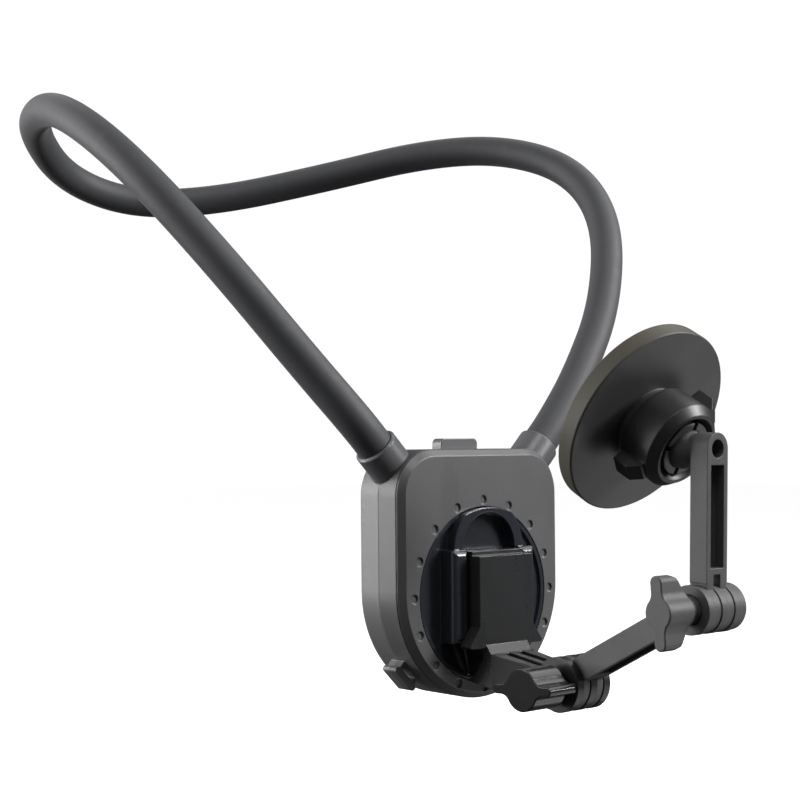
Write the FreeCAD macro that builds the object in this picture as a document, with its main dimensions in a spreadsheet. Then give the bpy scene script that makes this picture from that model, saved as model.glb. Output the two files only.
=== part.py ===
"""Phone chest mount: a chest plate on a neck loop, with a turning disc, a quick-release buckle,
two clamped hinge arms and a magnetic phone head on a ball.

Millimetres. +Z is up, +Y points to the wearer and -Y to the front. The origin is on the plate's
back face, on the axis of the turning disc.
"""
import FreeCAD
import Part
import Sketcher

import math
import os

Vector = FreeCAD.Vector
Rotation = FreeCAD.Rotation
Placement = FreeCAD.Placement

doc = FreeCAD.newDocument("PhoneChestMount")
sheet = doc.addObject("Spreadsheet::Sheet", "Sizes")

# Driving sizes, in millimetres and degrees
SIZES = {
    # chest plate
    "plate_half_width": 39.0,
    "plate_depth": 21.0,
    "plate_top": 51.0,
    "plate_corner": 16.0,
    "bottom_centre": 2.1,
    "shell_wall": 2.2,
    "back_wall": 2.4,
    "rear_depth": 9.4,
    "bevel": 2.3,
    "reveal": 0.35,
    "plug_margin": 6.5,
    "cover_floor": 2.4,
    "dimple_margin": 6.0,
    "dimple_radius": 1.6,
    "dimple_depth": 0.6,
    "fit_gap": 0.1,
    # screws that close the plate
    "post_radius": 2.1,
    "post_top_x": 17.0,
    "post_top_drop": 7.0,
    "post_clear": 0.25,
    "screw_radius": 1.0,
    "screw_head_radius": 1.9,
    "screw_head_depth": 1.5,
    "screw_length": 12.0,
    "thread_gap": 0.04,
    # strap lugs
    "lug_out": 4.8,
    "lug_depth": 6.8,
    "lug_length": 11.6,
    "lug_root": 9.4,
    "lug_bar": 2.4,
    "lug_slot_length": 7.0,
    # neck loop
    "sleeve_wall": 2.4,
    "core_gap": 0.1,
    "socket_margin": 1.2,
    "socket_wall": 1.25,
    "socket_reach": 9.0,
    "socket_inside": 7.0,
    "socket_floor": 3.0,
    "socket_chamfer": 0.7,
    # turning disc
    "disc_margin": 8.6,
    "disc_gap": 0.3,
    "disc_recess": 2.6,
    "disc_thickness": 2.3,
    "disc_lip": 1.5,
    "disc_lip_height": 1.0,
    "hub_radius": 21.9,
    "hub_gap": 0.05,
    "rail_inner": 12.7,
    "rail_outer": 19.9,
    "rail_height": 7.2,
    "rail_low": 16.0,
    "rail_high": 16.0,
    "rail_round": 2.2,
    "arch_outer": 16.7,
    "arch_height": 4.0,
    "groove_reach": 1.9,
    "groove_near": 1.8,
    "groove_height": 3.0,
    "ramp_radius": 6.5,
    "ramp_x": 11.6,
    "ramp_drop": 1.0,
    "ramp_front": 0.1,
    "ramp_tip": 1.2,
    "ramp_tip_x": 8.0,
    "ramp_low": 27.4,
    # index ring and release button
    "ring_radius": 25.0,
    "ring_bore": 8.0,
    "ring_thickness": 2.8,
    "notch_count": 16,
    "notch_width": 3.6,
    "notch_depth": 1.8,
    "ring_screw_circle": 15.0,
    "ring_screw_radius": 1.25,
    "ring_screw_head": 2.4,
    "ring_screw_depth": 1.6,
    "ring_screw_length": 6.0,
    "button_travel": 2.2,
    "button_half_width": 8.8,
    "button_height": 3.8,
    "button_near": 4.1,
    "button_far": 8.9,
    "button_gap": 0.25,
    "yoke_gap": 1.2,
    "yoke_band": 2.5,
    "yoke_thickness": 2.4,
    "tooth_width": 2.8,
    "spring_radius": 1.05,
    "spring_wire": 0.25,
    "spring_turns": 5,
    # hinges
    "finger": 3.0,
    "finger_gap": 0.2,
    "bolt_radius": 2.5,
    "bolt_gap": 0.06,
    "nut_flats": 8.0,
    "nut_thickness": 2.0,
    "nut_gap": 0.05,
    "boss_extra": 2.8,
    "neck_radius": 4.5,
    "neck_recess": 1.4,
    "neck_length": 4.6,
    "hinge_1_radius": 9.2,
    "hinge_1_y": -63.4,
    "hinge_1_z": -27.0,
    "hinge_2_radius": 7.7,
    "hinge_2_y": -118.7,
    "hinge_2_z": 1.6,
    # buckle
    "slide_gap": 0.2,
    "slide_low": 14.0,
    "buckle_front": 5.0,
    "buckle_half_width": 12.8,
    "buckle_low": 17.5,
    "buckle_high": 14.0,
    "tab_reach": 17.7,
    "tab_height": 7.2,
    "tab_nose": 0.8,
    "visor_half_width": 10.1,
    "hook_back": 4.4,
    "hook_drop": 2.5,
    "hook_heel": 2.5,
    "hook_rise": 7.5,
    "hook_step": 2.2,
    "hook_root": 1.0,
    "hook_lean": 0.7,
    "scoop_radius": 16.2,
    "scoop_back": 11.4,
    "scoop_up": 2.8,
    "hook_narrow": 12.4,
    "slot_back": 28.5,
    # arms
    "arm_half_width": 5.0,
    "arm_lower_high": 5.6,
    "arm_lower_low": 2.4,
    "arm_upper_front": 4.2,
    "arm_upper_back": 2.3,
    "arm_slot_rise": 2.6,
    "arm_pocket_width": 6.4,
    "arm_pocket_depth": 3.4,
    "arm_clear": 0.5,
    "arm_shoulder": 4.5,
    "arm_upper_lean": 1.5,
    "ball_out": 9.0,
    "ball_up": 49.3,
    "ball_neck": 4.6,
    "ball_radius": 6.6,
    "ball_hole": 2.9,
    "ball_hole_depth": 9.0,
    # knobs
    "knob_fillet": 4.0,
    "knob_chamfer": 0.3,
    "knob_1_slope": 1.5,
    "knob_1_length": 13.8,
    "knob_1_hub": 7.0,
    "knob_1_span": 26.0,
    "knob_1_ear": 3.2,
    "knob_2_slope": 4.0,
    "knob_2_length": 11.5,
    "knob_2_hub": 4.9,
    "knob_2_span": 22.7,
    "knob_2_ear": 4.4,
    # magnet head, measured from the ball's centre along the head's axis
    "head_tilt": 29.5,
    "head_face": 16.4,
    "head_radius": 32.2,
    "head_thickness": 6.0,
    "head_bevel": 0.4,
    "head_wall": 2.0,
    "head_web": 1.8,
    "hub_outer": 11.0,
    "hub_step": 2.6,
    "hub_foot": 1.2,
    "socket_gap": 0.08,
    "collet_front": 0.9,
    "collet_back": 5.5,
    "collet_wall": 2.4,
    "collet_slot": 1.6,
    "collar_radius": 14.5,
    "collar_front": 1.3,
    "collar_mouth": 11.0,
    "collar_mouth_depth": 2.1,
    "collar_gap": 0.3,
    "collar_chamfer": 2.4,
    "collar_chamfer_length": 2.7,
    "collar_rear": 12.6,
    "wing_reach": 18.6,
    "wing_width": 6.4,
    "wing_length": 9.2,
    "wing_back": 1.0,
    "wing_slope": 3.2,
    "wing_turn": 41.0,
    "magnet_outer": 27.0,
    "magnet_inner": 22.5,
    "magnet_thickness": 2.2,
    "steel_thickness": 0.8,
    "pad_thickness": 1.5,
}
for row, (alias, number) in enumerate(SIZES.items(), start=1):
    sheet.set(f"A{row}", alias)
    sheet.set(f"B{row}", str(number))
    sheet.setAlias(f"B{row}", alias)
doc.recompute()


class Size:
    """A number together with the sheet formula that gives it, so that sums stay bound to the sheet."""

    def __init__(self, value, text):
        self.value = value
        self.text = text

    def __add__(self, other):
        other = as_size(other)
        return Size(self.value + other.value, f"({self.text} + {other.text})")

    def __sub__(self, other):
        other = as_size(other)
        return Size(self.value - other.value, f"({self.text} - {other.text})")

    def __mul__(self, other):
        other = as_size(other)
        return Size(self.value * other.value, f"({self.text} * {other.text})")

    def __truediv__(self, other):
        other = as_size(other)
        return Size(self.value / other.value, f"({self.text} / {other.text})")

    def __rsub__(self, other):
        return as_size(other) - self

    def __neg__(self):
        return Size(-self.value, f"(0 - {self.text})")

    __radd__ = __add__
    __rmul__ = __mul__


def as_size(number):
    """Wrap a plain number, so that sizes and numbers mix in one sum."""
    if isinstance(number, Size):
        return number
    return Size(float(number), f"({number})")


def size(alias):
    """The named cell of the sheet."""
    return Size(float(sheet.get(alias)), f"Sizes.{alias}")


def root(square):
    """Square root of a size."""
    return Size(math.sqrt(square.value), f"sqrt({square.text})")


# Helpers for solids built from primitives

AXIS = {"x": Vector(1, 0, 0), "y": Vector(0, 1, 0), "z": Vector(0, 0, 1)}


def bind(item, path, number):
    """Tie one property of an object to the sheet."""
    item.setExpression(path, as_size(number).text)


def place(item, at, turn=None):
    """Put an object at a point given in sizes, with an optional fixed turn."""
    at = [as_size(number) for number in at]
    item.Placement = Placement(Vector(*[number.value for number in at]), turn or Rotation())
    for axis, number in zip("xyz", at):
        bind(item, f"Placement.Base.{axis}", number)
    return item


def towards(direction):
    """The turn that takes +Z to a direction."""
    return Rotation(Vector(0, 0, 1), direction)


def box(low, high, turn=None):
    """A block between two corners; a turned block starts at its low corner."""
    low = [as_size(number) for number in low]
    high = [as_size(number) for number in high]
    item = doc.addObject("Part::Box", "Block")
    for side, start, end in zip(("Length", "Width", "Height"), low, high):
        bind(item, side, end - start)
    return place(item, low, turn)


def rod(radius, start, length, direction):
    """A round bar from a start point along a direction."""
    item = doc.addObject("Part::Cylinder", "Rod")
    bind(item, "Radius", radius)
    bind(item, "Height", length)
    return place(item, start, towards(direction))


def taper(radius_1, radius_2, start, length, direction):
    """A cone frustum from a start point along a direction."""
    item = doc.addObject("Part::Cone", "Taper")
    bind(item, "Radius1", radius_1)
    bind(item, "Radius2", radius_2)
    bind(item, "Height", length)
    return place(item, start, towards(direction))


def ball(radius, centre):
    """A full sphere."""
    item = doc.addObject("Part::Sphere", "Ball")
    bind(item, "Radius", radius)
    return place(item, centre)


def hexagon(flats, start, length, direction):
    """A hexagonal bar, given by its width across flats."""
    item = doc.addObject("Part::Prism", "Hexagon")
    item.Polygon = 6
    bind(item, "Circumradius", as_size(flats) / math.sqrt(3))
    bind(item, "Height", length)
    return place(item, start, towards(direction))


def fuse(pieces):
    """One solid out of overlapping pieces."""
    item = doc.addObject("Part::MultiFuse", "Union")
    item.Shapes = pieces
    item.Refine = True
    return item


def cut(base, tools):
    """Take tools away from a base."""
    item = doc.addObject("Part::Cut", "Difference")
    item.Base = base
    item.Tool = tools[0] if len(tools) == 1 else fuse(tools)
    item.Refine = True
    return item


def common(pieces):
    """What overlapping pieces share."""
    item = doc.addObject("Part::MultiCommon", "Overlap")
    item.Shapes = pieces
    item.Refine = True
    return item


def group(pieces):
    """Separate solids that share one node."""
    item = doc.addObject("Part::Compound", "Group")
    item.Links = pieces
    return item


# Helpers for bodies built from sketches


def new_body(name):
    """An empty body."""
    return doc.addObject("PartDesign::Body", name)


def new_sketch(body, plane, offset=0):
    """A sketch on one of the body's own origin planes, moved along that plane's normal."""
    sketch = body.newObject("Sketcher::SketchObject", "Sketch")
    support = next(item for item in body.Origin.OriginFeatures if item.Role == plane)
    sketch.AttachmentSupport = [(support, "")]
    sketch.MapMode = "FlatFace"
    offset = as_size(offset)
    sketch.AttachmentOffset = Placement(Vector(0, 0, offset.value), Rotation())
    bind(sketch, "AttachmentOffset.Base.z", offset)
    return sketch


def fix(sketch, kind, places, number):
    """A dimension of a sketch, tied to the sheet."""
    number = as_size(number)
    index = sketch.addConstraint(Sketcher.Constraint(kind, *places, number.value))
    bind(sketch, f"Constraints[{index}]", number)


def polygon(sketch, points):
    """A closed outline of straight runs through points given in sizes."""
    points = [(as_size(across), as_size(up)) for across, up in points]
    corners = [Vector(across.value, up.value, 0) for across, up in points]
    lines = [
        sketch.addGeometry(Part.LineSegment(corner, corners[(number + 1) % len(corners)]))
        for number, corner in enumerate(corners)
    ]
    for number, line in enumerate(lines):
        following = lines[(number + 1) % len(lines)]
        sketch.addConstraint(Sketcher.Constraint("Coincident", line, 2, following, 1))
    for line, (across, up) in zip(lines, points):
        fix(sketch, "DistanceX", (-1, 1, line, 1), across)
        fix(sketch, "DistanceY", (-1, 1, line, 1), up)


def rectangle(sketch, low, high):
    """A closed rectangle between two corners."""
    polygon(sketch, [low, (high[0], low[1]), high, (low[0], high[1])])


def circle(sketch, centre, radius):
    """A full circle."""
    across, up, radius = [as_size(number) for number in (*centre, radius)]
    middle = Vector(across.value, up.value, 0)
    round_edge = sketch.addGeometry(Part.Circle(middle, Vector(0, 0, 1), radius.value))
    fix(sketch, "DistanceX", (-1, 1, round_edge, 3), across)
    fix(sketch, "DistanceY", (-1, 1, round_edge, 3), up)
    fix(sketch, "Radius", (round_edge,), radius)


def arc(centre, radius, start, end):
    """An arc between two angles in degrees, for a sketch."""
    full = Part.Circle(Vector(*centre, 0), Vector(0, 0, 1), radius)
    return Part.ArcOfCircle(full, math.radians(start), math.radians(end))


def join_smoothly(sketch, edges):
    """Make each edge of a closed chain run tangent into the next."""
    for edge, following in zip(edges, edges[1:] + edges[:1]):
        sketch.addConstraint(Sketcher.Constraint("Tangent", edge, 2, following, 1))


def shield(sketch, inset=0):
    """The plate's outline, moved inwards by an inset: a half round below and two round corners on top."""
    half = size("plate_half_width") - inset
    top = size("plate_top") - inset
    corner = size("plate_corner") - inset
    low = size("bottom_centre")
    side = top.value - corner.value
    inner = half.value - corner.value
    shapes = [
        arc((0, low.value), half.value, 180, 360),
        Part.LineSegment(Vector(half.value, low.value, 0), Vector(half.value, side, 0)),
        arc((inner, side), corner.value, 0, 90),
        Part.LineSegment(Vector(inner, top.value, 0), Vector(-inner, top.value, 0)),
        arc((-inner, side), corner.value, 90, 180),
        Part.LineSegment(Vector(-half.value, side, 0), Vector(-half.value, low.value, 0)),
    ]
    edges = [sketch.addGeometry(shape) for shape in shapes]
    join_smoothly(sketch, edges)
    bottom, right, right_corner, top_edge, left_corner, left = edges
    sketch.addConstraint(Sketcher.Constraint("Vertical", right))
    sketch.addConstraint(Sketcher.Constraint("Horizontal", top_edge))
    sketch.addConstraint(Sketcher.Constraint("Vertical", left))
    fix(sketch, "Radius", (bottom,), half)
    fix(sketch, "DistanceX", (-1, 1, bottom, 3), 0)
    fix(sketch, "DistanceY", (-1, 1, bottom, 3), low)
    fix(sketch, "DistanceY", (-1, 1, top_edge, 1), top)
    fix(sketch, "Radius", (right_corner,), corner)
    fix(sketch, "Radius", (left_corner,), corner)


def stadium(sketch, half_length, half_width):
    """A long hole's outline along the sketch's X axis, with full round ends."""
    straight = half_length - half_width
    reach = straight.value
    width = half_width.value
    shapes = [
        arc((reach, 0), width, -90, 90),
        Part.LineSegment(Vector(reach, width, 0), Vector(-reach, width, 0)),
        arc((-reach, 0), width, 90, 270),
        Part.LineSegment(Vector(-reach, -width, 0), Vector(reach, -width, 0)),
    ]
    edges = [sketch.addGeometry(shape) for shape in shapes]
    join_smoothly(sketch, edges)
    right, top_edge, left = edges[:3]
    sketch.addConstraint(Sketcher.Constraint("Horizontal", top_edge))
    fix(sketch, "DistanceX", (-1, 1, right, 3), straight)
    fix(sketch, "DistanceY", (-1, 1, right, 3), 0)
    fix(sketch, "DistanceX", (-1, 1, left, 3), -straight)
    fix(sketch, "Radius", (right,), half_width)


def pad(sketch, length, taper_angle=0, midplane=False, backwards=False):
    """Raise a sketch along its normal."""
    body = sketch.getParentGeoFeatureGroup()
    feature = body.newObject("PartDesign::Pad", "Pad")
    feature.Profile = sketch
    bind(feature, "Length", length)
    feature.TaperAngle = taper_angle
    feature.Midplane = midplane
    feature.Reversed = backwards
    return feature


def pocket(sketch, depth, forwards=False, midplane=False):
    """Sink a sketch against its normal, or along it where forwards is set."""
    body = sketch.getParentGeoFeatureGroup()
    feature = body.newObject("PartDesign::Pocket", "Pocket")
    feature.Profile = sketch
    bind(feature, "Length", depth)
    feature.Reversed = forwards
    feature.Midplane = midplane
    return feature


def revolve(sketch):
    """Turn a sketch once round its own upright axis."""
    body = sketch.getParentGeoFeatureGroup()
    feature = body.newObject("PartDesign::Revolution", "Revolution")
    feature.Profile = sketch
    feature.ReferenceAxis = (sketch, ["V_Axis"])
    feature.Angle = 360
    return feature


def turned(name, points):
    """A body turned round Z from an outline of radius and height pairs."""
    body = new_body(name)
    outline = new_sketch(body, "XZ_Plane")
    polygon(outline, points)
    revolve(outline)
    return body


def around(feature, axis, count):
    """Repeat a feature evenly round one of the body's own axes."""
    body = feature.getParentGeoFeatureGroup()
    pattern = body.newObject("PartDesign::PolarPattern", "Pattern")
    pattern.Originals = [feature]
    line = next(item for item in body.Origin.OriginFeatures if item.Role == axis)
    pattern.Axis = (line, [""])
    pattern.Angle = 360
    bind(pattern, "Occurrences", count)
    body.Tip = pattern
    return pattern


def edges_of(feature, wanted):
    """Names of the feature's edges that pass a test."""
    doc.recompute()
    return [
        f"Edge{number}"
        for number, edge in enumerate(feature.Shape.Edges, start=1)
        if wanted(edge)
    ]


def soften(kind, feature, wanted, amount):
    """Fillet or chamfer the edges of a body's feature that pass a test."""
    body = feature.getParentGeoFeatureGroup()
    names = edges_of(feature, wanted)
    dressing = body.newObject(f"PartDesign::{kind}", kind)
    dressing.Base = (feature, names)
    bind(dressing, "Radius" if kind == "Fillet" else "Size", amount)
    return dressing


NODES = []


def node(name, item):
    """Name a finished sub-part."""
    item.Label = name
    NODES.append(item)
    return item


# Levels of the chest plate along Y, all negative because the front faces -Y
FRONT = -size("plate_depth")
PARTING = -size("rear_depth")
BEVEL_BACK = size("bevel") - size("plate_depth")
RECESS_FLOOR = FRONT + size("disc_recess")
COVER_BACK = RECESS_FLOOR + size("cover_floor")
DISC_BACK = RECESS_FLOOR - size("fit_gap")
DISC_FRONT = DISC_BACK - size("disc_thickness")
DISC_FLOOR = DISC_FRONT + size("disc_lip_height")
RAIL_FRONT = DISC_FLOOR - size("rail_height")
RING_FRONT = COVER_BACK + size("fit_gap")
RING_BACK = RING_FRONT + size("ring_thickness")
DISC_RADIUS = size("plate_half_width") - size("disc_margin")
TO_FRONT = Vector(0, -1, 0)
TO_BACK = Vector(0, 1, 0)
UP = Vector(0, 0, 1)
TO_RIGHT = Vector(1, 0, 0)
SLANT = math.sqrt(0.5)
PAST = 1.0
TOUCH = 0.01
SIDES = {"left": -1, "right": 1}

# Screw posts: two below the top edge, two inside the round bottom wall
LOW_POST_ANGLE = math.radians(46.8)
LOW_POST = size("plate_half_width") - size("shell_wall") - size("post_radius") - size("post_clear")
POSTS = [
    (side * across, height)
    for across, height in (
        (size("post_top_x"), size("plate_top") - size("post_top_drop")),
        (LOW_POST * math.cos(LOW_POST_ANGLE), size("bottom_centre") - LOW_POST * math.sin(LOW_POST_ANGLE)),
    )
    for side in (as_size(-1), as_size(1))
]


def lug_block(side, start, end, low, high, length):
    """A block of a strap lug: it stands out of a lower corner at 45 degrees, between two radii."""
    shift = length / 2 * SLANT
    radial = start * SLANT
    base_x = radial * side - shift
    base_z = size("bottom_centre") - radial - shift * side
    item = doc.addObject("Part::Box", "LugBlock")
    bind(item, "Length", end - start)
    bind(item, "Width", high - low)
    bind(item, "Height", length)
    angle = 90 - 45 * side
    return place(item, (base_x, low, base_z), Rotation(AXIS["y"], angle))


def lug_blocks(low, high):
    """The two lugs of one shell between two depths, and the strap slots through them."""
    wall = size("plate_half_width")
    reach = wall + size("lug_out")
    slot_end = reach - size("lug_bar")
    bar_radius = size("lug_bar") / 2
    bar_middle = slot_end + bar_radius
    bar_length = size("lug_length") - size("lug_bar")
    root_start = wall - size("shell_wall") / 2
    solids = []
    for side in SIDES.values():
        solids.append(lug_block(side, root_start, bar_middle, low, high, size("lug_root")))
        solids.append(lug_block(side, slot_end, reach, low, high, bar_length))
        for way in SIDES.values():
            across = bar_middle * SLANT * side + bar_length / 2 * SLANT * way
            height = size("bottom_centre") - bar_middle * SLANT + bar_length / 2 * SLANT * side * way
            solids.append(rod(bar_radius, (across, high, height), high - low, TO_FRONT))
    slots = [
        lug_block(side, wall + size("fit_gap"), slot_end, low - PAST, high + PAST, size("lug_slot_length"))
        for side in SIDES.values()
    ]
    return solids, slots


def socket_axis(side, distance):
    """A point on the axis of a tube socket, measured from the centre of the plate's round corner."""
    across = size("plate_half_width") - size("plate_corner") + distance * SLANT
    height = size("plate_top") - size("plate_corner") + distance * SLANT
    return (across * side, PARTING, height)


def socket_direction(side):
    """The way a tube socket points out of its corner."""
    return Vector(side * SLANT, 0, SLANT)


SOCKET_RADIUS = -BEVEL_BACK - size("reveal") - size("rear_depth") - size("socket_margin")
TUBE_RADIUS = SOCKET_RADIUS - size("socket_wall")
CORE_RADIUS = TUBE_RADIUS - size("sleeve_wall") - size("core_gap")
SOCKET_START = size("plate_corner") - size("socket_inside")
SOCKET_LENGTH = size("socket_inside") + size("socket_reach")


def socket_room(side):
    """The room that a tube socket takes in the shells."""
    radius = SOCKET_RADIUS + size("fit_gap") / 2
    return rod(radius, socket_axis(side, SOCKET_START), SOCKET_LENGTH, socket_direction(side))


def make_rear_shell():
    """The half that lies on the chest: a tray with screw bosses, lug halves and the button's slot."""
    body = new_body("RearTray")
    outline = new_sketch(body, "XZ_Plane")
    shield(outline)
    pad(outline, size("rear_depth"))
    hollow = new_sketch(body, "XZ_Plane", size("rear_depth"))
    shield(hollow, size("shell_wall"))
    pocket(hollow, size("rear_depth") - size("back_wall"))
    lugs, slots = lug_blocks(PARTING, PARTING + size("lug_depth") / 2)
    boss_start = -size("back_wall") / 2
    boss_length = size("rear_depth") - size("back_wall") / 2
    bosses = [rod(size("post_radius"), (x, boss_start, z), boss_length, TO_FRONT) for x, z in POSTS]
    clear = size("screw_radius") + 2 * size("fit_gap")
    holes = [rod(clear, (x, PAST, z), size("rear_depth") + 2 * PAST, TO_FRONT) for x, z in POSTS]
    sink_radius = size("screw_head_radius") + 2 * size("fit_gap")
    sink_depth = size("screw_head_depth") + 2 * size("fit_gap") + PAST
    sinks = [rod(sink_radius, (x, PAST, z), sink_depth, TO_FRONT) for x, z in POSTS]
    gap = size("button_gap")
    half = size("button_half_width") + gap
    button_slot = box(
        (-half, -size("button_far") - gap, size("plate_top") - 3 * size("shell_wall")),
        (half, gap - size("button_near"), size("plate_top") + PAST),
    )
    rooms = [socket_room(side) for side in SIDES.values()]
    solid = fuse([body, *lugs, *bosses])
    return node("rear_shell", cut(solid, [*slots, *holes, *sinks, button_slot, *rooms]))


def make_front_shell():
    """The side wall between the rear shell and the cover, with the front halves of the lugs."""
    depth = -BEVEL_BACK - size("reveal") - size("rear_depth")
    body = new_body("FrontWall")
    outline = new_sketch(body, "XZ_Plane", size("rear_depth"))
    shield(outline)
    pad(outline, depth)
    hollow = new_sketch(body, "XZ_Plane", size("rear_depth") + depth)
    shield(hollow, size("shell_wall"))
    pocket(hollow, depth)
    lugs, slots = lug_blocks(PARTING - size("lug_depth") / 2, PARTING)
    rooms = [socket_room(side) for side in SIDES.values()]
    return node("front_shell", cut(fuse([body, *lugs]), [*slots, *rooms]))


def make_front_cover():
    """The bevelled face with its index dimples, the disc's recess and the screw posts behind it."""
    body = new_body("CoverPlate")
    face = new_sketch(body, "XZ_Plane", -BEVEL_BACK)
    shield(face)
    pad(face, size("bevel"), taper_angle=-45)
    plug = new_sketch(body, "XZ_Plane", -BEVEL_BACK)
    circle(plug, (0, 0), size("plate_half_width") - size("plug_margin"))
    pad(plug, COVER_BACK - BEVEL_BACK, backwards=True)
    recess = new_sketch(body, "XZ_Plane", size("plate_depth"))
    circle(recess, (0, 0), DISC_RADIUS + size("disc_gap"))
    pocket(recess, size("disc_recess"))
    bore = new_sketch(body, "XZ_Plane", size("plate_depth"))
    circle(bore, (0, 0), size("hub_radius") + size("hub_gap"))
    pocket(bore, size("disc_recess") + size("cover_floor") + PAST)
    dimple = new_sketch(body, "XZ_Plane", size("plate_depth"))
    circle(dimple, (0, size("plate_half_width") - size("dimple_margin")), size("dimple_radius"))
    around(pocket(dimple, size("dimple_depth")), "Y_Axis", size("notch_count"))
    post_length = PARTING - BEVEL_BACK + size("bevel") / 2
    post_start = BEVEL_BACK - size("bevel") / 2
    posts = [rod(size("post_radius"), (x, post_start, z), post_length, TO_BACK) for x, z in POSTS]
    bore_radius = size("screw_radius") + size("thread_gap")
    bore_length = size("screw_length") + PAST - size("rear_depth")
    bores = [rod(bore_radius, (x, PARTING, z), bore_length + PAST, TO_FRONT) for x, z in POSTS]
    return node("front_cover", cut(fuse([body, *posts]), bores))


def make_shell_screws():
    """Four screws that pull the cover and both shells together from behind."""
    head_top = -2 * size("fit_gap")
    screws = []
    for x, z in POSTS:
        head = rod(size("screw_head_radius"), (x, head_top, z), size("screw_head_depth"), TO_FRONT)
        shank = rod(size("screw_radius"), (x, head_top, z), size("screw_length"), TO_FRONT)
        screws.append(fuse([head, shank]))
    return node("shell_screws", group(screws))


def make_tube_sockets():
    """The sleeves that hold the two ends of the neck tube, clamped between the shells."""
    for name, side in SIDES.items():
        way = socket_direction(side)
        radius = SOCKET_RADIUS
        chamfer = size("socket_chamfer")
        bore = TUBE_RADIUS + size("fit_gap") / 2
        sleeve = turned(
            "TubeSocket",
            [
                (0, 0),
                (radius, 0),
                (radius, SOCKET_LENGTH - chamfer),
                (radius - chamfer, SOCKET_LENGTH),
                (bore, SOCKET_LENGTH),
                (bore, size("socket_floor")),
                (0, size("socket_floor")),
            ],
        )
        node(f"tube_socket_{name}", place(sleeve, socket_axis(side, SOCKET_START), towards(way)))


# Route of the neck tube between the sockets, as it was bent: over the left shoulder, round the
# back of the neck and down the right side
NECK_ROUTE = [
    (-60.5, 1.5, 79.5),
    (-82.5, 22.5, 116.5),
    (-98.5, 50.0, 150.0),
    (-102.0, 84.0, 172.5),
    (-91.0, 129.0, 186.0),
    (-72.5, 174.0, 186.0),
    (-44.0, 197.0, 171.0),
    (-9.0, 196.0, 162.5),
    (27.0, 179.5, 166.0),
    (63.5, 150.0, 176.0),
    (93.0, 112.0, 185.5),
    (109.5, 76.5, 184.5),
    (116.0, 41.5, 171.5),
    (110.0, 16.0, 146.0),
    (90.0, 0.0, 109.0),
    (66.0, -7.0, 79.0),
]
ROUND_SHARE = 0.45
SOCKET_RUN = 11.0


def neck_path():
    """The tube's centre line: straight runs joined by tangent arcs as large as the runs allow."""
    start = SOCKET_START + size("socket_floor") + size("fit_gap")
    leave = SOCKET_START + SOCKET_LENGTH + SOCKET_RUN

    def point(side, distance):
        return Vector(*[as_size(number).value for number in socket_axis(side, distance)])

    points = [point(-1, start), point(-1, leave)]
    points += [Vector(*place_on_route) for place_on_route in NECK_ROUTE]
    points += [point(1, leave), point(1, start)]
    edges = []
    last = points[0]
    for before, corner, after in zip(points, points[1:], points[2:]):
        come = (corner - before).normalize()
        go = (after - corner).normalize()
        half_turn = come.getAngle(go) / 2
        trim = ROUND_SHARE * min((corner - before).Length, (after - corner).Length)
        radius = trim / math.tan(half_turn)
        print(f"neck bend: turn {math.degrees(2 * half_turn):.0f} degrees, radius {radius:.0f} mm")
        first = corner - come * trim
        second = corner + go * trim
        inward = (go - come).normalize()
        middle = corner + inward * (radius / math.cos(half_turn) - radius)
        edges.append(Part.LineSegment(last, first).toShape())
        edges.append(Part.Arc(first, middle, second).toShape())
        last = second
    edges.append(Part.LineSegment(last, points[-1]).toShape())
    path = doc.addObject("Part::Feature", "NeckPath")
    path.Shape = Part.Wire(edges)
    return path


def swept_tube(path, radius):
    """A round bar along a path."""
    section = doc.addObject("Part::Circle", "TubeSection")
    bind(section, "Radius", radius)
    first = path.Shape.Edges[0]
    start = first.valueAt(first.FirstParameter)
    section.Placement = Placement(start, towards(first.tangentAt(first.FirstParameter)))
    tube = doc.addObject("Part::Sweep", "Tube")
    tube.Sections = [section]
    tube.Spine = (path, [f"Edge{number}" for number in range(1, len(path.Shape.Edges) + 1)])
    tube.Solid = True
    tube.Frenet = False
    return tube


def make_neck():
    """The soft sleeve of the neck loop and the bendable rod inside it."""
    path = neck_path()
    outside = swept_tube(path, TUBE_RADIUS)
    inside = swept_tube(path, CORE_RADIUS + size("core_gap"))
    sleeve = node("neck_sleeve", cut(outside, [inside]))
    core = node("gooseneck_core", swept_tube(path, CORE_RADIUS))
    doc.recompute()
    length = path.Shape.Length
    expected = math.pi * CORE_RADIUS.value**2 * length
    print(f"neck length {length:.1f} mm")
    print(f"core volume {core.Shape.Volume:.0f} mm3, section by length {expected:.0f} mm3")
    return sleeve


def make_index_ring():
    """The notched ring behind the cover that keeps the disc in and stops it at each step."""
    body = new_body("IndexRing")
    outline = new_sketch(body, "XZ_Plane", -RING_BACK)
    circle(outline, (0, 0), size("ring_radius"))
    circle(outline, (0, 0), size("ring_bore"))
    pad(outline, size("ring_thickness"))
    hole = new_sketch(body, "XZ_Plane", -RING_FRONT)
    circle(hole, (size("ring_screw_circle"), 0), size("ring_screw_radius") + 2 * size("thread_gap"))
    around(pocket(hole, size("ring_thickness")), "Y_Axis", 4)
    notch = new_sketch(body, "XZ_Plane", -RING_FRONT)
    half = size("notch_width") / 2
    depth = size("ring_radius") - size("notch_depth")
    rectangle(notch, (-half, depth), (half, size("ring_radius") + PAST))
    around(pocket(notch, size("ring_thickness")), "Y_Axis", size("notch_count"))
    return node("index_ring", body)


def ring_screw_places():
    """Centres of the four screws in the index ring, as x and z."""
    circle_radius = size("ring_screw_circle")
    return [(circle_radius, 0), (-circle_radius, 0), (0, circle_radius), (0, -circle_radius)]


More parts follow.
